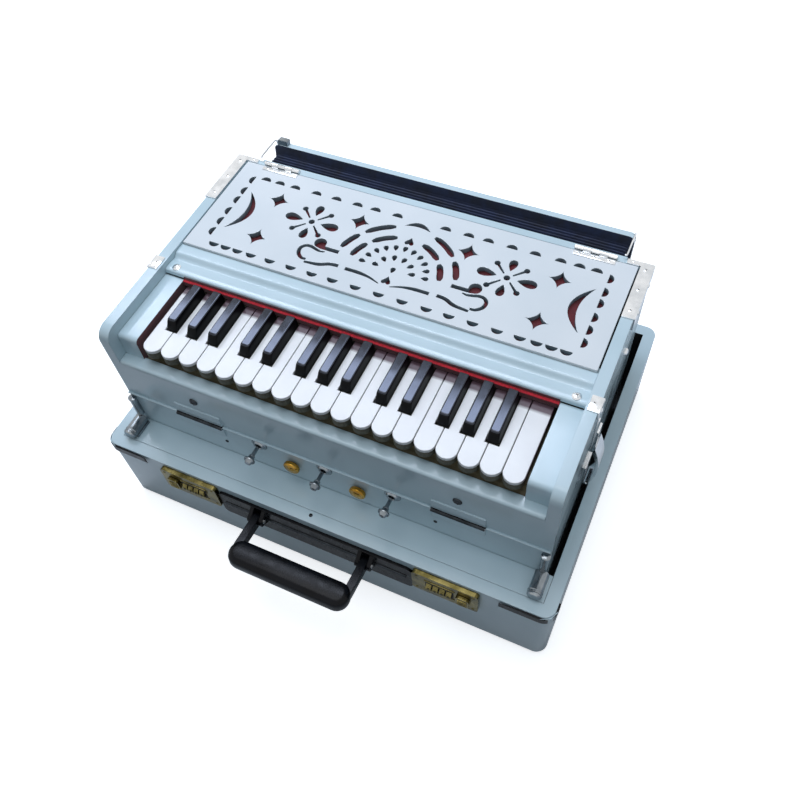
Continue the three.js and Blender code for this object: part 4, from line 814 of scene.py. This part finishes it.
def make_side_fittings(side, word):
    """Pins of the handle and the latch, the keeper's folded top, and the bands round the corner bolt."""
    pin = turned(headed_pin(17, 1.6, 2.4, 0.8), (side * 62 - 8.5, -192.5, 86), RIGHT, 20)
    put(f"handle_pin_{word}", pin, "chrome", "case")
    outer = sorted((side * CASE_HALF, side * KEEPER_OUT))
    top = sorted((side * 222.5, side * KEEPER_OUT))
    fold = joined("fold", [bar(*outer, *KEEPER, 246, BRACKET_TOP - HAIR, 0.3),
                           bar(*top, *KEEPER, 255.4, BRACKET_TOP, 0.5)])
    put(f"keeper_fold_{word}", fold, "chrome", "upper_section")
    spot = (side * BRACKET_X, (KEEPER[0] + KEEPER[1]) / 2, BRACKET_TOP - HAIR)
    screw(f"keeper_fold_screw_{word}", spot, UP, "upper_section", 1.9)
    pin = turned([(0, -0.6), (1.2, 0), (1.2, 20), (0, 20.6)], (side * 236.6, -46.5, 127.2), AWAY, 16)
    put(f"latch_pin_{word}", pin, "chrome", "case")
    band = turned([(6.2, 0), (7.1, 0.5), (7.1, 2.2), (6.2, 2.7)], (side * BOLT_X, -168.5, BOLT_Z), AWAY, 40)
    put(f"bolt_cap_band_{word}", band, "shaded_chrome", f"corner_bolt_{word}")
    rim = turned([(4.7, 0), (7.3, 0), (7.6, 0.8), (7.3, 1.8), (7.0, 1.8)], (side * BOLT_X, -166.4, BOLT_Z),
                 AWAY, 40)
    put(f"bolt_sleeve_rim_{word}", rim, "shaded_chrome", "case")


def make_bellows_stay(side, word):
    """Wire from an eye on the bellows board that lies along its end."""
    line = [(203, 165, 252), (204.5, 166, 256.5), (205, 163.5, 259.3), (205, 150, 259.9), (205, 134, 260),
            (204.7, 131.7, 260), (204, 131.2, 260), (203.4, 132.2, 260)]
    stay = wire("stay", [(side * x, y, z) for x, y, z in line], 0.9)
    put(f"bellows_stay_{word}", stay, "chrome", "bellows")
    screw(f"bellows_stay_eye_{word}", (side * 205.2, 163.2, 250), RIGHT * side, "bellows", 2.6)


def make_stop_trims():
    """Rosettes, bands and collars of the air stops, and the turned caps of the drone stops' knobs."""
    for x, word in ((-74, "left"), (0, "middle"), (74, "right")):
        profile = [(3.6, 0), (8.8, 0), (8.6, 0.7), (6.6, 1.2), (5.8, 2.2), (5.4, 2.9), (4.1, 3), (3.6, 2.4)]
        rosette = turned(profile, (x, CASE_FRONT, STOP_Z), -AWAY, 40)
        put(f"air_stop_rosette_{word}", rosette, "shaded_chrome", "case")
        profile = [(5.1, -1.3), (5.8, -0.8), (6.0, 0), (5.8, 0.8), (5.1, 1.3)]
        band = turned(profile, (x, -161.5, STOP_Z), AWAY, 40)
        put(f"air_stop_band_{word}", band, "shaded_chrome", f"air_stop_{word}")
        collar = turned([(2.0, 0), (3.1, 0.3), (3.1, 1.4), (2.0, 1.9)], (x, -157.5, STOP_Z), AWAY, 32)
        put(f"air_stop_collar_{word}", collar, "shaded_chrome", f"air_stop_{word}")
    for x, word in ((-37, "left"), (37, "right")):
        profile = [(8.6, 0), (8.9, 1.2), (8.6, 2.6), (7.2, 3.4), (6.6, 2.8), (5.2, 3.6), (2.4, 4.4), (0, 4.6)]
        cap = turned(profile, (x, -145.2, DRONE_Z), -AWAY, 40)
        put(f"drone_knob_cap_{word}", cap, "brass", f"drone_stop_{word}")


def make_fittings():
    """Screws, rosettes, bands, pins and other small fittings."""
    for side, word in SIDES:
        make_side_screws(side, word)
        make_side_fittings(side, word)
        make_bellows_stay(side, word)
    screw("tray_rim_screw", (-4, -175.5, TRAY_TOP - HAIR), UP, "case", 2.0, "nickel")
    make_stop_trims()


# Moulding and felt

def facing_out(mesh):
    """Turns a closed mesh's faces outwards."""
    work = bmesh.new()
    work.from_mesh(mesh)
    bmesh.ops.recalc_face_normals(work, faces=work.faces[:])
    work.to_mesh(mesh)
    work.free()
    return mesh


def prism(name, profile, left, right):
    """A straight length along X of a profile given as (y, z) corners."""
    count = len(profile)
    points = [(x, y, z) for x in (left, right) for y, z in profile]
    faces = [[place, (place + 1) % count, count + (place + 1) % count, count + place]
             for place in range(count)]
    faces += [list(range(count))[::-1], list(range(count, 2 * count))]
    return facing_out(shape(name, points, faces))


def make_moulding():
    """Moulding across the keyboard: nose, flat ledge, cove and top band, over felt that quiets the keys."""
    front, ledge, top, back = MOULDING_FRONT, MOULDING_LEDGE, 252.5, LID_FRONT - 0.3
    nose_foot, rebate = 244.2, 249.2
    profile = [(front, nose_foot), (front, ledge - 2.6), (front + 0.4, ledge - 1.2),
               (front + 1.3, ledge - 0.4), (front + 2.8, ledge - 0.05), (-36, ledge), (-30, ledge - 0.2),
               (-28.2, ledge - 0.8), (-26.4, ledge - 1), (-24.6, ledge - 0.6), (-23, ledge + 0.5),
               (-21.7, ledge + 2), (-20.8, top - 0.5), (-19.8, top - 0.1), (-18.6, top), (back, top),
               (back, rebate), (0.5, rebate), (0.5, nose_foot)]
    moulding = prism("moulding", profile, -220.2, 220.2)
    piece = put("front_moulding_board", moulding, "laminate", "upper_section", split=28)
    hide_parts("front_moulding")
    felt = [(-38, 237.9), (-46.2, 237.9), (-46.5, 238.5), (-46.6, 242.3), (-46.2, 243.4), (-45.3, 244.0),
            (-44.2, 244.1), (-38, 244.1)]
    strip = put("key_felt", prism("felt", felt, -197.6, 197.6), "felt", "upper_section",
                second="shaded_felt")
    # Painted shade: the felt's front face, under the moulding, takes the shaded felt
    for polygon in strip.data.polygons:
        if polygon.normal.y < -0.9:
            polygon.material_index = 1
    # A felt trim on the moulding's lower front, in the shaded felt: partly real felt, partly painted shade
    # under the nose
    trim = bar(-197.6, 197.6, front - 0.9, front + 0.1, nose_foot, ledge - 2.7)
    put("felt_trim_shaded", trim, "shaded_felt", "upper_section")


# Black keys

# Rings of a sharp's cap from its foot up: height, width, front, back and the front corners' radius
SHARP_RINGS = (
    (235.8, 12.0, -101.5, -47.6, 2.8), (237.0, 12.0, -101.5, -47.6, 2.8), (238.5, 11.75, -101.2, -47.6, 2.8),
    (246.0, 9.9, -97.8, -47.7, 2.8), (247.1, 9.2, -96.9, -48.0, 2.6), (247.75, 8.3, -95.9, -48.6, 2.2),
    (248.0, 7.3, -94.9, -49.3, 1.8), (248.0, 6.7, -94.5, -49.7, 1.5),
)


def plan(width, front, back, corner, steps=5):
    """A key cap's plan: straight sides, with its front and back corners rounded."""
    half = width / 2
    points = []
    for x, y, radius, first in ((half - corner, front + corner, corner, -90), (half - 1, back - 1, 1, 0),
                                (1 - half, back - 1, 1, 90), (corner - half, front + corner, corner, 180)):
        for step in range(steps + 1):
            turn = math.radians(first + 90 * step / steps)
            points.append((x + radius * math.cos(turn), y + radius * math.sin(turn)))
    return points


def sharp_cap(middle):
    """A black key's cap, with its flat top in the second material."""
    points, faces = [], []
    for height, width, front, back, corner in SHARP_RINGS:
        points += [(middle + x, y, height) for x, y in plan(width, front, back, corner)]
    around = len(points) // len(SHARP_RINGS)
    for first in range(0, len(points) - around, around):
        faces += [[first + p, first + (p + 1) % around, first + around + (p + 1) % around, first + around + p]
                  for p in range(around)]
    faces += [list(range(around))[::-1], list(range(len(points) - around, len(points)))]
    cap = shape("cap", points, faces)
    for polygon in cap.polygons:
        polygon.material_index = int(polygon.center.z > 247.3 * MM and polygon.normal.z > 0.5)
    return cap


def make_sharps():
    """Black keys: caps with sloped sides and a flat polished top, on wooden sticks with a pallet each."""
    for number in range(1, 14):
        name = f"black_key_{number:02d}"
        low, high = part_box(name)
        middle = (low[0] + high[0]) / 2 / MM
        stick = bar(middle - 5.4, middle + 5.4, -98.5, KEY_END, KEY_FOOT, 236.5)
        pallet = bar(middle - 6, middle + 6, *PALLET, PALLET_FOOT, KEY_FOOT)
        key = put(f"sharp_{number:02d}", joined(name, [sharp_cap(middle), stick, pallet]), "black_key", name,
                  split=50, second="sharp_top")
        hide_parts(name)


# Combination locks

def make_dial(word, number, left):
    """One knurled dial of a lock, and the number on its front."""
    teeth = 24
    rim = []
    for tooth in range(teeth * 2):
        turn = math.pi * tooth / teeth
        radius = 7.25 if tooth % 2 else 6.85
        rim.append((LOCK_FACE + 3.5 + radius * math.cos(turn), LOCK_MIDDLE + radius * math.sin(turn)))
    wheel = prism("dial", rim, left + 0.1, left + 5.4)
    put(f"lock_dial_{word}_{number}", wheel, "gold", "case", smooth=False)
    text = bpy.data.curves.new("number", "FONT")
    text.body = "0"
    text.size = 5.2 * MM
    text.extrude = 0.1 * MM
    text.align_x = "CENTER"
    text.align_y = "CENTER"
    figure = to_mesh(text)
    spot = Vector((left + 2.75, LOCK_FACE - 3.75, LOCK_MIDDLE)) * MM
    figure.transform(Matrix.Translation(spot) @ Matrix.Rotation(math.pi / 2, 4, "X"))
    put(f"dial_number_{word}_{number}", figure, "ink", "case", smooth=False)


def make_locks():
    """Knurled dials with a number each, their window in matt black as painted shade in the opening, ribs on
    the sliders and four rivets.
    """
    face, back = LOCK_FACE - 0.25, LOCK_FACE + 1
    for side, word in SIDES:
        left, right = sorted((side * (LOCK_IN + 14.4), side * (LOCK_IN + 44.1)))
        # Painted shade: a matt black plate for the dark hollow round the dials
        put(f"lock_window_{word}", bar(left, right, face, back, 76.6, 94.4, 0.2), "shade_black", "case")
        rims = [bar(left - 1.2, right + 1.2, LOCK_FACE - 0.7, back, z, z + 1.3) for z in (75.2, 94.5)]
        put(f"lock_window_rim_{word}", joined("rim", rims), "gold", "case")
        for dial in range(4):
            make_dial(word, dial + 1, side * (LOCK_IN + 16 + dial * 7) - (0 if side > 0 else 5.5))
        middle = side * 166
        ribs = [bar(middle - 5, middle + 5, -193.3, -192, z, z + 1.2, 0.4) for z in (80, 83, 86, 89)]
        put(f"slider_ribs_{word}", joined("ribs", ribs), "gold", f"lock_slider_{word}")
        for place, (x, z) in enumerate(((5, 72), (5, 99), (64, 72), (64, 99))):
            spot = (side * (LOCK_IN + x), LOCK_FACE + HAIR, z)
            screw(f"lock_rivet_{word}_{place + 1}", spot, -AWAY, "case", 1.6, "gold", cross=False)


# Folded cloths


BELLOWS_FOLDS = 5
BELLOWS_LEVELS = (9, 40, 72, 104)  # heights over the hinge line where the cloth's bands begin
BELLOWS_SHUT = math.radians(-0.4)


def bellows_line(share):
    """The cloth at one share of its opening: up one side, round two corners and down the other side."""
    y, z = HINGE_LINE
    wave = (0.5 - 0.5 * math.cos(2 * math.pi * BELLOWS_FOLDS * share)) ** 0.8
    turn = BELLOWS_SHUT + (LEAN - BELLOWS_SHUT) * share
    foot, x, far = BELLOWS_LEVELS[0], BOARD_HALF - (2 + 3 * wave), 140 - (5 + 8 * wave)
    corner, steps = 5, 16
    line = [(-x, foot + (far - corner - foot) * step / steps) for step in range(steps + 1)]
    line += [(-x + corner * (1 - math.cos(t)), far - corner + corner * math.sin(t)) for t in (0.5, 1.0, 1.4)]
    side = len(line)
    line += [(-x + corner + (x - corner) * 2 * step / steps, far) for step in range(steps + 1)]
    line += [(-u, v) for u, v in reversed(line[:side])]
    return [Vector((u, y + v * math.sin(turn), z + v * math.cos(turn))) for u, v in line]


def without_loose(mesh):
    """Removes the points of a mesh that no face uses."""
    work = bmesh.new()
    work.from_mesh(mesh)
    loose = [vertex for vertex in work.verts if not vertex.link_faces]
    bmesh.ops.delete(work, geom=loose, context="VERTS")
    work.to_mesh(mesh)
    work.free()
    return mesh


def make_bellows():
    """Pleated bellows cloth, cut into bands by height."""
    y, z = HINGE_LINE
    rows = BELLOWS_FOLDS * 10
    grid = [bellows_line(row / rows) for row in range(rows + 1)]
    width = len(grid[0])
    points = [spot for line in grid for spot in line]
    bands = {level: [] for level in range(len(BELLOWS_LEVELS))}
    for row in range(rows):
        for place in range(width - 1):
            first = row * width + place
            corners = [first, first + 1, first + width + 1, first + width]
            height = sum(points[corner].z for corner in corners) / 4 - z
            band = max(level for level in bands if height > BELLOWS_LEVELS[level] - 3)
            bands[band].append(corners)
    for band, faces in bands.items():
        mesh = without_loose(shape("pleats", points, faces))
        cloth = put(f"bellows_pleats_{band + 1}", mesh, "navy", None, split=0)
        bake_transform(cloth)
        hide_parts("bellows_cloth")


def make_reservoir():
    """Folded cloth between the wind board and the reservoir board, two folds deep."""
    rows, folds = 24, 2
    foot, rise, middle_y = 106.4, 11.2, -4.75
    points = []
    for row in range(rows + 1):
        share = row / rows
        inset = 6 + 4 * (0.5 - 0.5 * math.cos(2 * math.pi * folds * share))
        x, depth = 196 - inset, 115 - inset
        for u, v in ((-x, -depth), (x, -depth), (x, depth), (-x, depth)):
            points.append((u, v + middle_y, foot + rise * share))
    faces = [[row * 4 + side, row * 4 + (side + 1) % 4, row * 4 + 4 + (side + 1) % 4, row * 4 + 4 + side]
             for row in range(rows) for side in range(4)]
    cloth = put("reservoir_pleats", shape("reservoir", points, faces), "navy", None, split=0)
    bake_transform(cloth)
    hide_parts("reservoir_cloth")


# Floor, world and lamps

def seen_rays(tree):
    """Light path's camera rays, and its camera and mirror rays together."""
    rays = add(tree, "LightPath").outputs
    both = add(tree, "Math", None, {0: rays["Is Camera Ray"], 1: rays["Is Glossy Ray"]},
               operation="MAXIMUM")
    return rays["Is Camera Ray"], both.outputs["Value"]


def make_stage():
    """A pale floor that keeps the shadow."""
    half, foot = 6000, -0.5
    corners = [(-half, -half, foot), (half, -half, foot), (half, half, foot), (-half, half, foot)]
    mesh = shape("floor", corners, [(0, 1, 2, 3)])
    floor = bpy.data.objects.new("floor", mesh)
    bpy.context.scene.collection.objects.link(floor)
    material, tree, shader, _ = start("matt_paper_floor", Roughness=0.9, Specular_IOR_Level=0.0)
    camera_ray, seen = seen_rays(tree)
    mix = add(tree, "Mix", {"A": tone("#6F757B"), "B": tone("#EEF1F4")}, {"Factor": seen},
              data_type="RGBA")
    tree.links.new(mix.outputs["Result"], shader.inputs["Base Color"])
    lift = add(tree, "Math", {1: 0.68}, {0: camera_ray}, operation="MULTIPLY")
    shader.inputs["Emission Color"].default_value = tone("#FFFFFF")
    tree.links.new(lift.outputs["Value"], shader.inputs["Emission Strength"])
    mesh.materials.append(material)


def make_world():
    """White where the camera looks past the object, a soft pale room elsewhere."""
    world = bpy.data.worlds.new("soft_room")
    bpy.context.scene.world = world
    world.use_nodes = True
    tree = world.node_tree
    tree.nodes.clear()
    _, seen = seen_rays(tree)
    place = add(tree, "TexCoord").outputs["Generated"]
    height = add(tree, "SeparateXYZ", None, {"Vector": place}).outputs["Z"]

    def glow(colour, heights, strengths):
        strength = add(tree, "MapRange", {
            "From Min": heights[0], "From Max": heights[1], "To Min": strengths[0], "To Max": strengths[1]},
            {"Value": height})
        return add(tree, "Background", {"Color": tone(colour)},
                   {"Strength": strength.outputs["Result"]}).outputs["Background"]

    fill = glow("#E0EAF4", (0.0, 1.0), (0.05, 0.72))
    white = glow("#FFFFFF", (0.3, 0.8), (1.0, 0.95))
    mix = add(tree, "MixShader", None, {"Fac": seen, 1: fill, 2: white})
    add(tree, "OutputWorld", None, {"Surface": mix.outputs["Shader"]})


def make_lamp(name, x, y, z, size, watts, colour):
    """A soft rectangular lamp, which shines straight down as a new lamp does."""
    data = bpy.data.lights.new(name, "AREA")
    data.shape = "RECTANGLE"
    data.size, data.size_y = size
    data.energy = watts
    data.color = tone(colour)[:3]
    lamp = bpy.data.objects.new(name, data)
    lamp.location = (x, y, z)
    bpy.context.scene.collection.objects.link(lamp)


make_camera()
make_stage()
make_world()
make_lamp("back_window", -0.54, 0.54, 1.45, (1.35, 0.31), 10.6, "#DFEAFF")
make_lamp("ceiling_panel", -0.15, 0.05, 1.9, (1.2, 0.8), 6.9, "#F8FAFF")
make_lid()
make_lid_hinges()
make_front_hinges()
make_fittings()
make_moulding()
make_sharps()
make_locks()
make_bellows()
make_reservoir()

bpy.context.scene.view_settings.view_transform = "Standard"
